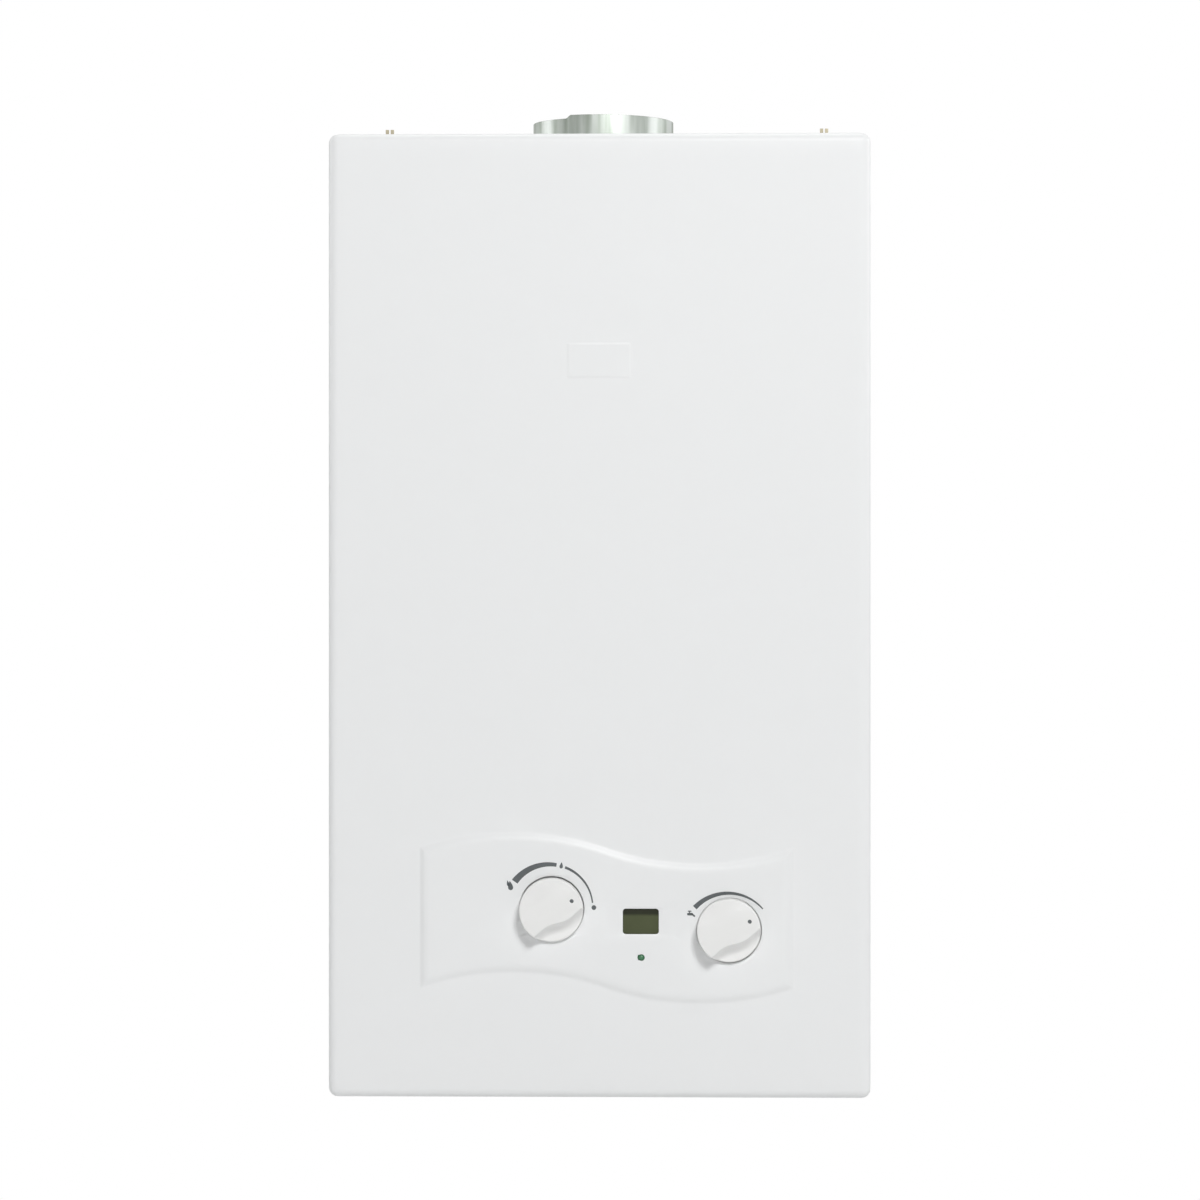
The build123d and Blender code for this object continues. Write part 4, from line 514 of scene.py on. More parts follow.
def cover_columns():
    """The x of the cover's grid lines."""
    ends = (-half_width + EDGE_RADIUS, half_width - EDGE_RADIUS)
    wanted = beside(window[0], *window_offsets(WINDOW_WIDTH / 2), LAMP_RING_IN, LAMP_RING_OUT)
    wanted += beside(0, NOTCH_RING_IN, NOTCH_RING_OUT, half_width - BOTTOM_STRIP)
    for screw_x in beside(0, half_width - SCREW_INSET):
        wanted += beside(screw_x, SCREW_SLOT_HALF)
    for place in hole_places:
        wanted += beside(place[0], KNOB_RING_IN, KNOB_RING_OUT)
    runs = slope_runs(*beside(window[0], RECESS_WIDTH / 2), RECESS_SLOPE)
    runs += slope_runs(panel_left, panel_right, PANEL_SLOPE)
    runs += slope_runs(*beside(0, BADGE_WIDTH / 2), BADGE_SLOPE)
    runs += [(*beside(window[0], LAMP_RING_OUT), LAMP_STEP)]
    runs += [(panel_left, panel_right, PANEL_STEP)]
    return grid_lines(ends, PLAIN_STEP, wanted, runs)


def cover_rows():
    """The z of the cover's grid lines."""
    ends = (case_bottom + EDGE_RADIUS, case_top - EDGE_RADIUS)
    wanted = beside(window[2], *window_offsets(WINDOW_HEIGHT / 2))
    wanted += beside(lamp[2], LAMP_RING_IN, LAMP_RING_OUT)
    for place in hole_places:
        wanted += beside(place[2], KNOB_RING_IN, KNOB_RING_OUT)
    for i in range(VENT_COUNT):
        wanted += beside(case_top - VENT_DROP - i * VENT_PITCH, VENT_WIDTH / 2)
    runs = slope_runs(*beside(window[2], RECESS_HEIGHT / 2), RECESS_SLOPE)
    runs += slope_runs(*beside(badge_z, BADGE_HEIGHT / 2), BADGE_SLOPE)
    runs += [(*beside(lamp[2], LAMP_RING_OUT), LAMP_STEP)]
    outer, inner = PANEL_WAVE + PANEL_EDGE_ROUND, PANEL_WAVE + PANEL_SLOPE
    runs += [(panel_low - outer, panel_low + inner, WAVE_STEP)]
    runs += [(panel_high - inner, panel_high + outer, WAVE_STEP)]
    runs += [(panel_low, panel_high, RING_STEP)]
    return grid_lines(ends, PLAIN_STEP, wanted, runs)


def round_window_corners(x, z):
    """Points on the window's edge that lie past a corner's centre move onto the corner's arc."""
    u, v = x - window[0], z - window[2]
    half_x, half_z = WINDOW_WIDTH / 2, WINDOW_HEIGHT / 2
    on_edge = np.maximum(np.abs(u) - half_x, np.abs(v) - half_z)
    past_u = np.maximum(np.abs(u) - (half_x - WINDOW_CORNER), 0)
    past_v = np.maximum(np.abs(v) - (half_z - WINDOW_CORNER), 0)
    corner = (np.abs(on_edge) < ON_LINE) & (past_u > 0) & (past_v > 0)
    scale = np.where(corner, WINDOW_CORNER / np.maximum(np.hypot(past_u, past_v), LEAST_LENGTH), 1)
    new_u = np.sign(u) * (half_x - WINDOW_CORNER + past_u * scale)
    new_v = np.sign(v) * (half_z - WINDOW_CORNER + past_v * scale)
    return np.where(corner, window[0] + new_u, x), np.where(corner, window[2] + new_v, z)


def cover_front(columns, rows):
    """The front as a grid in x and z. Square rings of the grid are drawn into circles at the round holes, and
    each point stands out by the relief there. Returns the points and which cells are kept."""
    grid_x, grid_z = np.meshgrid(columns, rows, indexing="ij")
    cell_x = (grid_x[:-1, :-1] + grid_x[1:, 1:]) / 2
    cell_z = (grid_z[:-1, :-1] + grid_z[1:, 1:]) / 2
    keep = inside_box(cell_x, cell_z, window[0], window[2], WINDOW_WIDTH, WINDOW_HEIGHT) < 0
    rings = [(place, KNOB_RING_IN, KNOB_RING_OUT, knob_hole) for place in hole_places]
    rings.append((lamp, LAMP_RING_IN, LAMP_RING_OUT, LAMP_HOLE_RADIUS))
    x, z = round_window_corners(grid_x, grid_z)
    for place, inner, outer, radius in rings:
        keep &= inside_box(cell_x, cell_z, place[0], place[2], 2 * inner, 2 * inner) < 0
        u, v = ring_warp(x - place[0], z - place[2], inner, outer, radius)
        x, z = u + place[0], v + place[2]
    y = case_front - front_relief(x, z)
    return np.stack([x, y, z], axis=-1), keep


def cover_rim(columns, rows):
    """The outline walked once round: the column and row of each base point on the front's border, and the
    angle that faces outward there. Corners repeat their base point while the angle turns by a quarter."""
    last_column, last_row = len(columns) - 1, len(rows) - 1
    turn = np.linspace(0, math.pi / 2, EDGE_STEPS + 1)[1:-1]
    sides = [
        (np.arange(last_column + 1), 0, -math.pi / 2),
        (last_column, np.arange(last_row + 1), 0.0),
        (np.arange(last_column, -1, -1), last_row, math.pi / 2),
        (0, np.arange(last_row, -1, -1), math.pi),
    ]
    place_x, place_z, angle = [], [], []
    for i, j, facing in sides:
        i, j = np.broadcast_arrays(i, j)
        place_x.append(np.concatenate([i, np.repeat(i[-1], len(turn))]))
        place_z.append(np.concatenate([j, np.repeat(j[-1], len(turn))]))
        angle.append(np.concatenate([np.full(len(i), facing), facing + turn]))
    return np.concatenate(place_x), np.concatenate(place_z), np.concatenate(angle)


def cover_depth_lines():
    """The y of the grid lines along the cover's sides, top and bottom."""
    ends = (case_front + EDGE_RADIUS, cover_rear)
    wanted = [case_front + BOTTOM_LIP, flue_y - NOTCH_RING_IN, flue_y - NOTCH_RING_OUT, flue_y]
    wanted += beside(flue_y, VENT_LENGTH / 2)
    wanted += [cover_rear - SCREW_FROM_REAR - SCREW_SLOT_HALF]
    return grid_lines(ends, SIDE_STEP, wanted, [(flue_y - NOTCH_RING_IN, flue_y, NOTCH_STEP)])


def cut_from_skin(middle):
    """Which cells of the skin are cut away: vents in the sides, the flue notch on top, and the bottom opening
    with a slot for each screw."""
    x, y, z = middle[:, 0], middle[:, 1], middle[:, 2]
    flat = y > case_front + EDGE_RADIUS
    on_side = flat & (np.abs(x) > half_width - NEAR_FACE)
    below = case_top - VENT_DROP - z
    row = np.round(below / VENT_PITCH)
    vent = (np.abs(below - row * VENT_PITCH) < VENT_WIDTH / 2) & (row >= 0) & (row < VENT_COUNT)
    cut = on_side & vent & (np.abs(y - flue_y) < VENT_LENGTH / 2)
    on_top = flat & (z > case_top - NEAR_FACE)
    cut |= on_top & (np.abs(x) < NOTCH_RING_IN) & (y > flue_y - NOTCH_RING_IN)
    on_bottom = flat & (z < case_bottom + NEAR_FACE)
    cut |= on_bottom & (np.abs(x) < half_width - BOTTOM_STRIP) & (y > case_front + BOTTOM_LIP)
    slot = np.abs(np.abs(x) - half_width + SCREW_INSET) < SCREW_SLOT_HALF
    return cut | (on_bottom & slot & (y > cover_rear - SCREW_FROM_REAR - SCREW_SLOT_HALF))


def cover_skin(front_index, front_points, columns, rows):
    """The rounded edge and the four walls: the outline carried back along a quarter circle and then straight.
    Returns new points, a table of vertex numbers and which cells are kept."""
    place_x, place_z, angle = cover_rim(columns, rows)
    base = front_points[place_x, place_z]
    outward = np.stack([np.cos(angle), np.sin(angle)], axis=1)
    bend = np.linspace(0, math.pi / 2, EDGE_STEPS + 1)[1:]
    depth = cover_depth_lines()[1:]
    reach = np.concatenate([EDGE_RADIUS * np.sin(bend), np.full(len(depth), EDGE_RADIUS)])
    back = np.concatenate([case_front + EDGE_RADIUS * (1 - np.cos(bend)), depth])
    x = base[:, None, 0] + outward[:, None, 0] * reach
    z = base[:, None, 2] + outward[:, None, 1] * reach
    y = np.broadcast_to(back, x.shape)
    table = np.hstack([front_index[place_x, place_z][:, None], numbered(x) + front_index.size])
    plain = np.concatenate([base[:, None], np.stack([x, y, z], axis=-1)], axis=1)
    pairs = plain + np.roll(plain, -1, axis=0)
    middle = (pairs[:, :-1] + pairs[:, 1:]) / 4
    keep = ~cut_from_skin(middle.reshape(-1, 3))
    on_top = (y > case_front + EDGE_RADIUS) & (z > case_top - NEAR_FACE)
    notch_radius = COLLAR_RADIUS + NOTCH_GAP
    u, v = ring_warp(x, np.minimum(y - flue_y, 0), NOTCH_RING_IN, NOTCH_RING_OUT, notch_radius)
    x = np.where(on_top, u, x)
    y = np.where(on_top & (y < flue_y), v + flue_y, y)
    return as_points(x, y, z), table, keep


def build_cover(material):
    """The pressed front cover, as one sheet with its own thickness."""
    columns, rows = cover_columns(), cover_rows()
    front, keep_front = cover_front(columns, rows)
    front_index = numbered(front[..., 0])
    skin, skin_table, keep_skin = cover_skin(front_index, front, columns, rows)
    front_faces = grid_faces(front_index)[keep_front.ravel()]
    skin_faces = grid_faces(skin_table, wrap_rows=True)[keep_skin][:, ::-1]
    points = np.vstack([front.reshape(-1, 3), skin])
    points, faces = thicken(points, np.vstack([front_faces, skin_faces]), COVER_GAUGE)
    piece = make_piece("cover_shell", points, [faces], "cover", material)
    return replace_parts(piece, "front_cover")


# Round pieces

def round_surface(radius, depth):
    """Circles of points about an axis, joined to each other and closed by a pole at both ends. depth is a
    table of ring by direction. Returns points as across, up and depth, and faces."""
    angle = even_angles(depth.shape[1])
    radius = np.asarray(radius)[:, None]
    points = as_points(radius * np.cos(angle), radius * np.sin(angle), depth)
    poles = np.array([[0, 0, depth[0].mean()], [0, 0, depth[-1].mean()]])
    table = numbered(depth)
    start, end = fan(table.size, table[0]), fan(table.size + 1, table[-1])[:, SWAP_LAST_TWO]
    return np.vstack([points, poles]), [grid_faces(table, wrap_columns=True), start, end]


# Knobs

def grip_edge(along):
    """Half the grip's width: it narrows evenly to the pointer, with a sine's swell added along the way."""
    swell = GRIP_SWELL * np.sin(math.pi * along / GRIP_SWELL_LENGTH)
    return GRIP_HALF - GRIP_TAPER * along / knob_radius + swell


def knob_face(along, across):
    """Depth of the knob's face: level on the grip with a slight crown, then past the grip's edge a hollow
    that falls as a power of the distance left. The lower scoop reaches the base, the upper one is shallow."""
    past = np.abs(across) - grip_edge(along)
    lower = (1 - np.clip(soften(past, GRIP_ROUND) / GRIP_WALL, 0, 1)) ** GRIP_HOLLOW
    upper = (1 - np.clip(soften(past, UPPER_ROUND) / UPPER_WALL, 0, 1)) ** UPPER_HOLLOW
    fall = np.where(across < 0, (knob_floor - knob_top) * (1 - lower), UPPER_SCOOP * (1 - upper))
    crown = GRIP_CROWN * (along ** 2 + across ** 2) / knob_radius ** 2
    return knob_top + fall + crown * np.where(across < 0, lower, upper)


def build_knob(name, node, body, material):
    """A moulded knob: the sculpted face, a rounded rim, then a hollow skirt with a flange, and a hub with a
    socket behind."""
    place = cad_middle(node)
    turns = even_angles(KNOB_TURNS)
    tilt = math.radians(KNOB_TILT_DEGREES)
    flat_radius = knob_radius - KNOB_RIM
    face_radius = flat_radius * np.linspace(0, 1, KNOB_RINGS + 1)[1:]
    bend = np.linspace(0, math.pi / 2, KNOB_RIM_STEPS + 1)[1:]
    along, across = np.cos(turns - tilt), np.sin(turns - tilt)
    face = knob_face(face_radius[:, None] * along, face_radius[:, None] * across)
    rim = face[-1] + KNOB_RIM * (1 - np.cos(bend))[:, None]
    skirt = knob_radius - KNOB_WALL
    under = knob_floor + KNOB_WALL
    flange = knob_radius + KNOB_FLANGE
    flange_front, socket_end = knob_rear - KNOB_FLANGE_GAUGE, knob_rear - KNOB_SOCKET_DEPTH
    back = np.array([
        (knob_radius, flange_front), (flange, flange_front), (flange, knob_rear), (skirt, knob_rear),
        (skirt, under), (KNOB_HUB, under), (KNOB_HUB, knob_rear), (KNOB_SOCKET, knob_rear),
        (KNOB_SOCKET, socket_end),
    ])
    radius = np.concatenate([face_radius, flat_radius + KNOB_RIM * np.sin(bend), back[:, 0]])
    depth = np.vstack([face, rim, np.repeat(back[:, 1:], KNOB_TURNS, axis=1)])
    points, faces = round_surface(radius, depth)
    points = points[:, SWAP_LAST_TWO] + [place[0], 0, place[2]]
    piece = make_piece(name, points, faces, body, material, KNOB_SHARP_DEGREES)
    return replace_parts(piece, node)


def build_pointer(name, node, body, material):
    """The knob's pointer dot: a shallow dome of paint on the grip, a paraboloid over a small circle."""
    place = cad_middle(node)
    tilt = math.radians(KNOB_TILT_DEGREES)
    radius = POINTER_RADIUS * np.linspace(0, 1, POINTER_RINGS + 1)[1:]
    grip = knob_face(np.array(POINTER_REACH), np.array(0.0))
    dome = grip - POINTER_PROUD * (1 - (radius / POINTER_RADIUS) ** 2)
    depth = np.repeat(np.append(dome, grip + POINTER_SUNK)[:, None], POINTER_TURNS, axis=1)
    points, faces = round_surface(np.append(radius, POINTER_RADIUS), depth)
    middle = [place[0] + POINTER_REACH * math.cos(tilt), 0, place[2] + POINTER_REACH * math.sin(tilt)]
    return make_piece(name, points[:, SWAP_LAST_TWO] + middle, faces, body, material)


# Flue collar

def collar_section():
    """The collar's cross-section, walked once round: up the inside, over the rim, down to the flange and
    back. Returns each point's offset and height, and its share of the way up."""
    floor, rim = collar_low[2], collar_high[2] - COLLAR_RIM_BELOW
    flange = floor + COLLAR_FLANGE_GAUGE
    over = np.linspace(0, math.pi, COLLAR_RIM_STEPS)
    foot = np.linspace(0, math.pi / 2, COLLAR_RIM_STEPS)
    rim_offset = -COLLAR_GAUGE / 2 * (1 + np.cos(over))
    rim_height = rim - COLLAR_GAUGE / 2 * (1 - np.sin(over))
    foot_offset = COLLAR_FOOT * (1 - np.cos(foot))
    foot_height = flange + COLLAR_FOOT * (1 - np.sin(foot))
    offset = np.concatenate([[-COLLAR_GAUGE], rim_offset, foot_offset, [COLLAR_FLANGE, COLLAR_FLANGE]])
    height = np.concatenate([[floor], rim_height, foot_height, [flange, floor]])
    return offset, height, np.clip((height - flange) / (rim - flange), 0, 1)


def build_collar(material):
    """A rolled strip with a lap seam: the cross-section carried round by a full turn, while its radius falls
    by the sheet's gauge and its rim by the seam's drop. The strip's first corner is cut off on a slant."""
    corner_share = COLLAR_CORNER / (2 * math.pi * COLLAR_RADIUS)
    corner = np.linspace(0, corner_share, COLLAR_CORNER_STEPS)
    share = np.append(corner, np.linspace(corner_share, 1, COLLAR_TURNS + 1)[1:])[:, None]
    angle = math.radians(COLLAR_SEAM_DEGREES) + 2 * math.pi * share
    offset, height, rising = collar_section()
    radius = COLLAR_RADIUS + offset - COLLAR_GAUGE * share * (offset < COLLAR_FLANGE)
    z = height - COLLAR_SEAM_DROP * rising * (share + 1 - ease(share / corner_share))
    table = numbered(radius)
    faces = [grid_faces(table, wrap_columns=True)[:, ::-1], table[:1, ::-1], table[-1:]]
    points = as_points(radius * np.cos(angle), flue_y + radius * np.sin(angle), z)
    piece = make_piece("rolled_collar", points, faces, "heater", material)
    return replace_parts(piece, "flue_collar")


# Valve spring

def build_spring(material):
    """A round wire on a helix. At the angle t its middle is (p t, -R sin t, R cos t), and a ring of the wire's
    radius stands there square to the helix."""
    low, high = cad_span("gas_valve_spring")
    middle = cad_middle("gas_valve_spring")
    radius = (high[2] - low[2]) / 2 - SPRING_WIRE_RADIUS
    t = np.linspace(0, 2 * math.pi * SPRING_TURNS, SPRING_TURNS * SPRING_TURN_STEPS + 1)[:, None]
    pitch = (high[0] - low[0] - 2 * SPRING_WIRE_RADIUS) / t[-1, 0]
    side = even_angles(SPRING_WIRE_SIDES)
    outward = radius + SPRING_WIRE_RADIUS * np.cos(side)
    onward = SPRING_WIRE_RADIUS * np.sin(side) / math.hypot(radius, pitch)
    x = low[0] + SPRING_WIRE_RADIUS + pitch * t + onward * radius
    y = middle[1] - outward * np.sin(t) + onward * pitch * np.cos(t)
    z = middle[2] + outward * np.cos(t) + onward * pitch * np.sin(t)
    table = numbered(x)
    faces = [grid_faces(table, wrap_columns=True), table[:1], table[-1:, ::-1]]
    piece = make_piece("valve_spring_coil", as_points(x, y, z), faces, "heater", material)
    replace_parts(piece, "gas_valve_spring")
    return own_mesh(piece)


# Printed scales

def ring_ribbon(middle, *runs):
    """A band of ink on a circle. Its angle, inner radius and width all go evenly from start to stop."""
    share = np.linspace(0, 1, PRINT_STEPS + 1)
    degrees, inside, width = (start + (stop - start) * share for start, stop in runs)
    angle = np.radians(degrees)[:, None]
    radius = np.stack([inside + width, inside], axis=1)
    x, z = middle[0] + radius * np.cos(angle), middle[1] + radius * np.sin(angle)
    points = as_points(x, panel_front - PRINT_PROUD, z)
    points, faces = thicken(points, grid_faces(numbered(x))[:, ::-1], PRINT_GAUGE)
    return points, [faces]


def filled_outline(middle, x, z):
    """A flat patch of ink: an outline with a pole in the middle of its front and one behind."""
    count = len(x)
    ring = as_points(middle[0] + x, panel_front - PRINT_PROUD, middle[1] + z)
    pole = np.array([[middle[0], panel_front - PRINT_PROUD, middle[1]]])
    back = [0, PRINT_GAUGE, 0]
    here = np.arange(count)
    after = np.roll(here, -1)
    walls = np.stack([here, here + count, after + count, after], axis=1)
    fans = fan(2 * count, here), fan(2 * count + 1, here + count)[:, SWAP_LAST_TWO]
    return np.vstack([ring, ring + back, pole, pole + back]), [fans[0], walls, fans[1]]


def dot(middle, radius):
    """A round spot."""
    angle = even_angles(PRINT_STEPS)
    return filled_outline(middle, radius * np.cos(angle), radius * np.sin(angle))


def flame(middle, width, height, lean):
    """A flame: a teardrop whose half width is the sine of the angle times a power of the half angle's sine,
    with the tip leaning aside as the square of its height."""
    angle = even_angles(PRINT_STEPS)
    up = np.cos(angle)
    across = -np.sin(angle) * np.sin(angle / 2) ** FLAME_POINT
    return filled_outline(middle, width * across + lean * ((up + 1) / 2) ** 2, height / 2 * up)


def bar(middle, length, thickness, turn_degrees):
    """A round-ended bar: an ellipse squared off by a root of its cosine and sine, turned by an angle."""
    angle, turn = even_angles(PRINT_STEPS), math.radians(turn_degrees)
    u = length / 2 * np.sign(np.cos(angle)) * np.abs(np.cos(angle)) ** BAR_SQUARENESS
    v = thickness / 2 * np.sign(np.sin(angle)) * np.abs(np.sin(angle)) ** BAR_SQUARENESS
    x = u * math.cos(turn) - v * math.sin(turn)
    z = u * math.sin(turn) + v * math.cos(turn)
    return filled_outline(middle, x, z)


def from_knob(knob, x, z):
    """A place on the panel, measured from a knob's middle."""
    return knob[0] + x, knob[2] + z


def gas_marks():
    """Two tapering bands, an off spot and the flames."""
    scale = from_knob(gas_knob, GAS_SCALE_X, GAS_SCALE_Z)
    marks = [ring_ribbon(scale, *GAS_WIDE_BAND), ring_ribbon(scale, *GAS_THIN_BAND)]
    marks.append(dot(from_knob(gas_knob, OFF_SPOT_X, OFF_SPOT_Z), OFF_SPOT_RADIUS))
    return marks + [flame(from_knob(gas_knob, x, z), *shape) for x, z, *shape in FLAMES.values()]


def water_marks():
    """One tapering band and a tap."""
    tap_x, tap_z = from_knob(water_knob, TAP_X, TAP_Z)
    marks = [ring_ribbon(from_knob(water_knob, WATER_SCALE_X, WATER_SCALE_Z), *WATER_BAND)]
    return marks + [bar((tap_x + x, tap_z + z), *shape) for x, z, *shape in TAP_BARS.values()]


def build_marks(name, marks, material):
    """Printed marks as one piece: their points one after another, and their faces numbered on."""
    points = np.vstack([mark_points for mark_points, _ in marks])
    starts = np.cumsum([0] + [len(mark_points) for mark_points, _ in marks])
    faces = [table + start for (_, tables), start in zip(marks, starts) for table in tables]
    return make_piece(name, points, faces, "cover", material)


# Shared surface effects

def feed(tree, node, given):
    """Fills a node's inputs, by name or number, from other nodes' sockets or with plain values."""
    for socket, value in given.items():
        if isinstance(value, bpy.types.NodeSocket):
            tree.links.new(value, node.inputs[socket])
        else:
            node.inputs[socket].default_value = value


def add_node(tree, kind, given=None, **settings):
    """A new node, with its settings and its inputs."""
    node = tree.nodes.new(kind)
    for setting, value in settings.items():
        setattr(node, setting, value)
    feed(tree, node, given or {})
    return node


def new_group(name, inputs, output, output_kind):
    """An empty node group, which takes a vector, a scale and the named inputs. Returns the group and its
    incoming sockets."""
    group = bpy.data.node_groups.new(name, "ShaderNodeTree")
    for socket, kind in {"Vector": VECTOR, "Scale": FLOAT, **inputs}.items():
        group.interface.new_socket(name=socket, in_out="INPUT", socket_type=kind)
    group.interface.new_socket(name=output, in_out="OUTPUT", socket_type=output_kind)
    return group, add_node(group, "NodeGroupInput").outputs


def close_group(group, result):
    """Leads a socket out of a node group, which is then finished."""
    add_node(group, "NodeGroupOutput", {0: result})
    return group


def add_noise(tree, vector, scale, detail):
    """A noise texture's value."""
    given = {"Vector": vector, "Scale": scale, "Detail": detail}
    return add_node(tree, "ShaderNodeTexNoise", given).outputs["Fac"]


def add_spread(tree, value, low, high, start=0.0, stop=1.0):
    """A smooth step from start to stop, as a value goes from low to high."""
    given = {"Value": value, "From Min": low, "From Max": high, "To Min": start, "To Max": stop}
    return add_node(tree, "ShaderNodeMapRange", given, interpolation_type="SMOOTHSTEP").outputs["Result"]


def add_clouds(tree, vector, scale, *ends):
    """Soft clouds: the middle part of a noise's range, spread over 0 to 1 or between two other ends."""
    return add_spread(tree, add_noise(tree, vector, scale, CLOUD_DETAIL), NOISE_LOW, NOISE_HIGH, *ends)


def add_colour_mix(tree, share, first, second):
    """A mix of two colours by a share."""
    given = {MIX_SHARE: share, MIX_FIRST: first, MIX_SECOND: second}
    return add_node(tree, "ShaderNodeMix", given, data_type="RGBA").outputs[MIX_COLOUR]


def make_cloudy_tone():
    """Two tones of a colour in soft clouds."""
    group, given = new_group("cloudy_tone", {"Light": COLOUR, "Dark": COLOUR}, "Color", COLOUR)
    clouds = add_clouds(group, given["Vector"], given["Scale"])
    return close_group(group, add_colour_mix(group, clouds, given["Dark"], given["Light"]))


def make_rough_patches():
    """Roughness that wanders between two values."""
    group, given = new_group("rough_patches", {"Low": FLOAT, "High": FLOAT}, "Roughness", FLOAT)
    ends = given["Low"], given["High"]
    return close_group(group, add_clouds(group, given["Vector"], given["Scale"], *ends))


def make_fine_grain():
    """A fine bumpy skin, such as orange peel, moulded texture or a cast face."""
    group, given = new_group("fine_grain", {"Depth": FLOAT}, "Normal", VECTOR)
    height = add_noise(group, given["Vector"], given["Scale"], GRAIN_DETAIL)
    bump = add_node(group, "ShaderNodeBump", {"Height": height, "Distance": given["Depth"]})
    return close_group(group, bump.outputs["Normal"])


def make_spangle():
    """Zinc crystals: one even shade for each cell of a crystal pattern, softened by clouds."""
    group, given = new_group("spangle", {}, "Shade", FLOAT)
    vector, scale = given["Vector"], given["Scale"]
    cells = add_node(group, "ShaderNodeTexVoronoi", {"Vector": vector, "Scale": scale})
    apart = add_node(group, "ShaderNodeSeparateColor", {"Color": cells.outputs["Color"]})
    shades = {"A": apart.outputs["Red"], "B": add_clouds(group, vector, scale)}
    blend = add_node(group, "ShaderNodeMix", {"Factor": SPANGLE_CLOUD_SHARE, **shades})
    return close_group(group, blend.outputs["Result"])


def make_level_band():
    """A share that goes from 0 to 1 between two heights, with a wandering edge."""
    group, given = new_group("level_band", {"Start": FLOAT, "Stop": FLOAT}, "Share", FLOAT)
    apart = add_node(group, "ShaderNodeSeparateXYZ", {"Vector": given["Vector"]})
    noise = add_noise(group, given["Vector"], given["Scale"], CLOUD_DETAIL)
    terms = {0: noise, 1: LEVEL_WANDER * MM, 2: apart.outputs["Z"]}
    height = add_node(group, "ShaderNodeMath", terms, operation="MULTIPLY_ADD").outputs["Value"]
    return close_group(group, add_spread(group, height, given["Start"], given["Stop"]))


def make_streaks():
    """Upright streaks: clouds drawn out along Z."""
    group, given = new_group("streaks", {}, "Shade", FLOAT)
    terms = {0: given["Vector"], 1: STREAK_SQUEEZE_SHARES}
    drawn = add_node(group, "ShaderNodeVectorMath", terms, operation="MULTIPLY").outputs["Vector"]
    return close_group(group, add_clouds(group, drawn, given["Scale"]))


makers = (make_cloudy_tone, make_rough_patches, make_fine_grain, make_spangle, make_level_band, make_streaks)
effects = {group.name: group for group in (make() for make in makers)}


# Materials

def apply_effect(tree, effect, vector, **values):
    """A shared effect in a material, with this material's own values."""
    given = {"Vector": vector, **values}
    return add_node(tree, "ShaderNodeGroup", given, node_tree=effects[effect]).outputs[0]


def opaque(colour):
    """A colour with full alpha."""
    return (*colour, 1.0)


Made = namedtuple("Made", "material tree shader place")


def new_material(name):
    """A material with its node tree, its Principled shader and the piece's own coordinates."""
    material = bpy.data.materials.new(name)
    material.use_nodes = True
    tree = material.node_tree
    place = add_node(tree, "ShaderNodeTexCoord").outputs["Object"]
    return Made(material, tree, tree.nodes["Principled BSDF"], place)


def make_finish(name, finish):
    """A plain finish: clouds of two tones, wandering roughness and a fine grain."""
    made = new_material(name)
    _, tree, shader, place = made
    rough_scale = ROUGH_SCALE_RATIO * finish.tone_scale
    low, high = finish.rough
    depth = finish.grain_depth * MM
    light, dark = opaque(finish.light), opaque(finish.dark)
    tone = apply_effect(tree, "cloudy_tone", place, Scale=finish.tone_scale, Light=light, Dark=dark)
    feed(tree, shader, {
        "Base Color": tone,
        "Roughness": apply_effect(tree, "rough_patches", place, Scale=rough_scale, Low=low, High=high),
        "Normal": apply_effect(tree, "fine_grain", place, Scale=finish.grain_scale, Depth=depth),
        "Metallic": finish.metallic,
        "Coat Weight": finish.coat,
        "Coat Roughness": COAT_ROUGHNESS,
    })
    return made


def recolour(name, colour, effect, **values):
    """Mixes a colour over a finish's own, by an effect's share over the surface."""
    _, tree, shader, place = finishes[name]
    own = shader.inputs["Base Color"].links[0].from_socket
    share = apply_effect(tree, effect, place, **values)
    feed(tree, shader, {"Base Color": add_colour_mix(tree, share, own, opaque(colour))})


def add_own_marks():
    """What single finishes have of their own: crystals on zinc sheet, upright streaks on the rolled strip, a
    brown tint on copper that fades up from the fire, a lamp's glow. Also a painted shade: a dark band along
    the display's top, where the window's edge would shade it."""
    recolour("galvanised", SPANGLE_DARK, "spangle", Scale=SPANGLE_SCALE)
    recolour("rolled_zinc", STREAK_DARK, "streaks", Scale=STREAK_SCALE)
    recolour("copper", HEAT_BROWN, "level_band", Scale=HEAT_SCALE, Start=heat_high * MM, Stop=heat_low * MM)
    # Painted shade: the display darkens towards its top, as if shaded by the window's edge above it
    top = window[2] + WINDOW_HEIGHT / 2
    start, stop = (top - DISPLAY_BAND) * MM, (top - DISPLAY_BAND_END) * MM
    recolour("display_glass", DISPLAY_PAINTED_SHADE, "level_band", Scale=DISPLAY_BAND_SCALE, Start=start, Stop=stop)
    glass, lit = finishes["display_glass"], finishes["green_lamp"]
    feed(glass.tree, glass.shader, {"Specular IOR Level": DISPLAY_SPECULAR})
    feed(lit.tree, lit.shader, {"Emission Color": opaque(LAMP_GLOW_COLOUR), "Emission Strength": LAMP_GLOW})


finishes = {name: make_finish(name, finish) for name, finish in FINISHES.items()}
add_own_marks()
materials = {name: made.material for name, made in finishes.items()}


def dress_nodes():
    """Every CAD node takes the finish of its own slot in the record."""
    for row in frame["record"]["subparts"]:
        mesh = frame["nodes"][row["node"]].data
        mesh.materials.clear()
        mesh.materials.append(materials[row["material_slot"]])


# Stage, light and camera

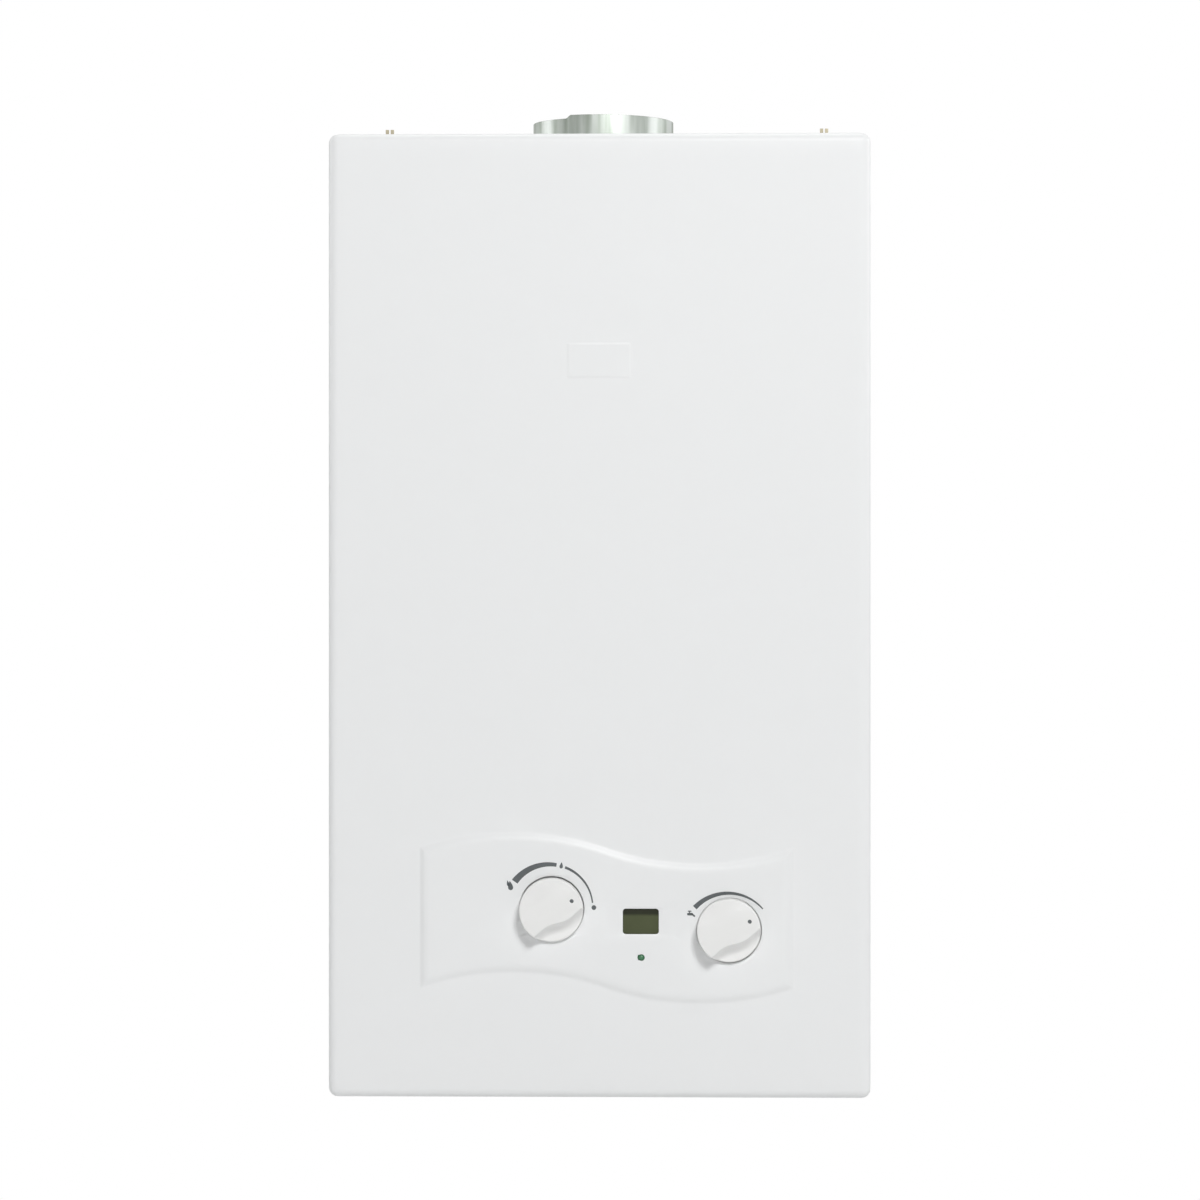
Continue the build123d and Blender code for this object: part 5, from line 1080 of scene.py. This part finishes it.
def seen_share(tree):
    """1 for rays that are seen, straight or in reflections, and 0 for the rest: the largest of their masks."""
    rays = add_node(tree, "ShaderNodeLightPath").outputs
    share = rays[SEEN_RAYS[0]]
    for kind in SEEN_RAYS[1:]:
        masks = {0: share, 1: rays[kind]}
        share = add_node(tree, "ShaderNodeMath", masks, operation="MAXIMUM").outputs["Value"]
    return share


def mix_shaders(tree, share, first, second, output):
    """Shows the second shader over the first, by a share."""
    mix = add_node(tree, "ShaderNodeMixShader", {"Fac": share, 1: first, 2: second})
    feed(tree, tree.nodes[output], {"Surface": mix.outputs["Shader"]})


def build_world():
    """White to the camera and in reflections, and a low even light on the object."""
    world = bpy.data.worlds.new("studio")
    world.use_nodes = True
    bpy.context.scene.world = world
    tree = world.node_tree
    white = tree.nodes["Background"]
    feed(tree, white, {"Color": opaque(SKY_COLOUR)})
    soft = add_node(tree, "ShaderNodeBackground", {"Color": opaque(SKY_COLOUR), "Strength": SKY_STRENGTH})
    shaders = soft.outputs["Background"], white.outputs["Background"]
    mix_shaders(tree, seen_share(tree), *shaders, "World Output")


def floor_material():
    """A pale floor that keeps the shadow near the object and clears to white further out."""
    material, tree, shader, place = new_material("pale_floor")
    light, dark = opaque(FLOOR_LIGHT), opaque(FLOOR_DARK)
    tone = apply_effect(tree, "cloudy_tone", place, Scale=FLOOR_TONE_SCALE, Light=light, Dark=dark)
    feed(tree, shader, {"Base Color": tone, "Roughness": FLOOR_ROUGHNESS})
    length = add_node(tree, "ShaderNodeVectorMath", {0: place}, operation="LENGTH").outputs["Value"]
    far = add_spread(tree, length, FLOOR_CLEAR_START * MM, FLOOR_CLEAR_END * MM)
    clear = add_node(tree, "ShaderNodeMath", {0: far, 1: seen_share(tree)}, operation="MULTIPLY")
    white = add_node(tree, "ShaderNodeEmission").outputs["Emission"]
    mix_shaders(tree, clear.outputs["Value"], shader.outputs["BSDF"], white, "Material Output")
    return material


def build_floor():
    """A wide flat square below the heater."""
    side = np.linspace(-FLOOR_HALF, FLOOR_HALF, FLOOR_STEPS)
    x, y = np.meshgrid(side, side, indexing="ij")
    points = as_points(x, y, case_bottom - FLOOR_DROP)
    mesh = bpy.data.meshes.new("floor")
    mesh.from_pydata((points * MM).tolist(), [], grid_faces(numbered(x)).tolist())
    mesh.materials.append(floor_material())
    floor = link_object("floor", mesh)


def aim_from(seeing, place, aim):
    """Puts a lamp or a camera at a place and turns it to face a point."""
    place, aim = Vector(place), Vector(aim)
    seeing.location = place * MM
    seeing.rotation_euler = (aim - place).to_track_quat("-Z", "Y").to_euler()


def add_softbox(name, place, aim, size, power):
    """A square area lamp that faces a point."""
    lamp_data = bpy.data.lights.new(name, "AREA")
    lamp_data.size = size * MM
    lamp_data.energy = power
    aim_from(link_object(name, lamp_data), place, aim)


def build_camera():
    """A level camera in front of the heater, a little to its right, at the photograph's framing."""
    camera_data = bpy.data.cameras.new("camera")
    camera_data.sensor_width = SENSOR_WIDTH
    camera_data.lens = SENSOR_WIDTH * CAMERA_DISTANCE / (PHOTO_PIXELS * MM_PER_PIXEL)
    camera_data.clip_end = CAMERA_REACH * MM
    yaw = math.radians(CAMERA_YAW_DEGREES)
    aim = Vector((AIM_X, case_front, AIM_Z))
    camera = link_object("camera", camera_data)
    aim_from(camera, aim + CAMERA_DISTANCE * Vector((math.sin(yaw), -math.cos(yaw), 0)), aim)
    bpy.context.scene.camera = camera


# The scene

dress_nodes()
build_cover(materials["white_enamel"])
build_collar(materials["rolled_zinc"])
build_spring(materials["steel"])
for knob_node, knob_body in KNOB_BODIES.items():
    build_knob(f"{knob_node}_moulding", knob_node, knob_body, materials["white_plastic"])
for knob_node, knob_body in KNOB_BODIES.items():
    build_pointer(f"{knob_node}_dot", knob_node, knob_body, materials["panel_ink"])
build_marks("gas_scale_print", gas_marks(), materials["panel_ink"])
build_marks("water_scale_print", water_marks(), materials["panel_ink"])
build_world()
build_floor()
for softbox_name, (softbox_place, softbox_size, softbox_power) in SOFTBOXES.items():
    add_softbox(softbox_name, softbox_place, LAMP_AIM, softbox_size, softbox_power)
build_camera()
bpy.context.scene.view_settings.view_transform = "Standard"
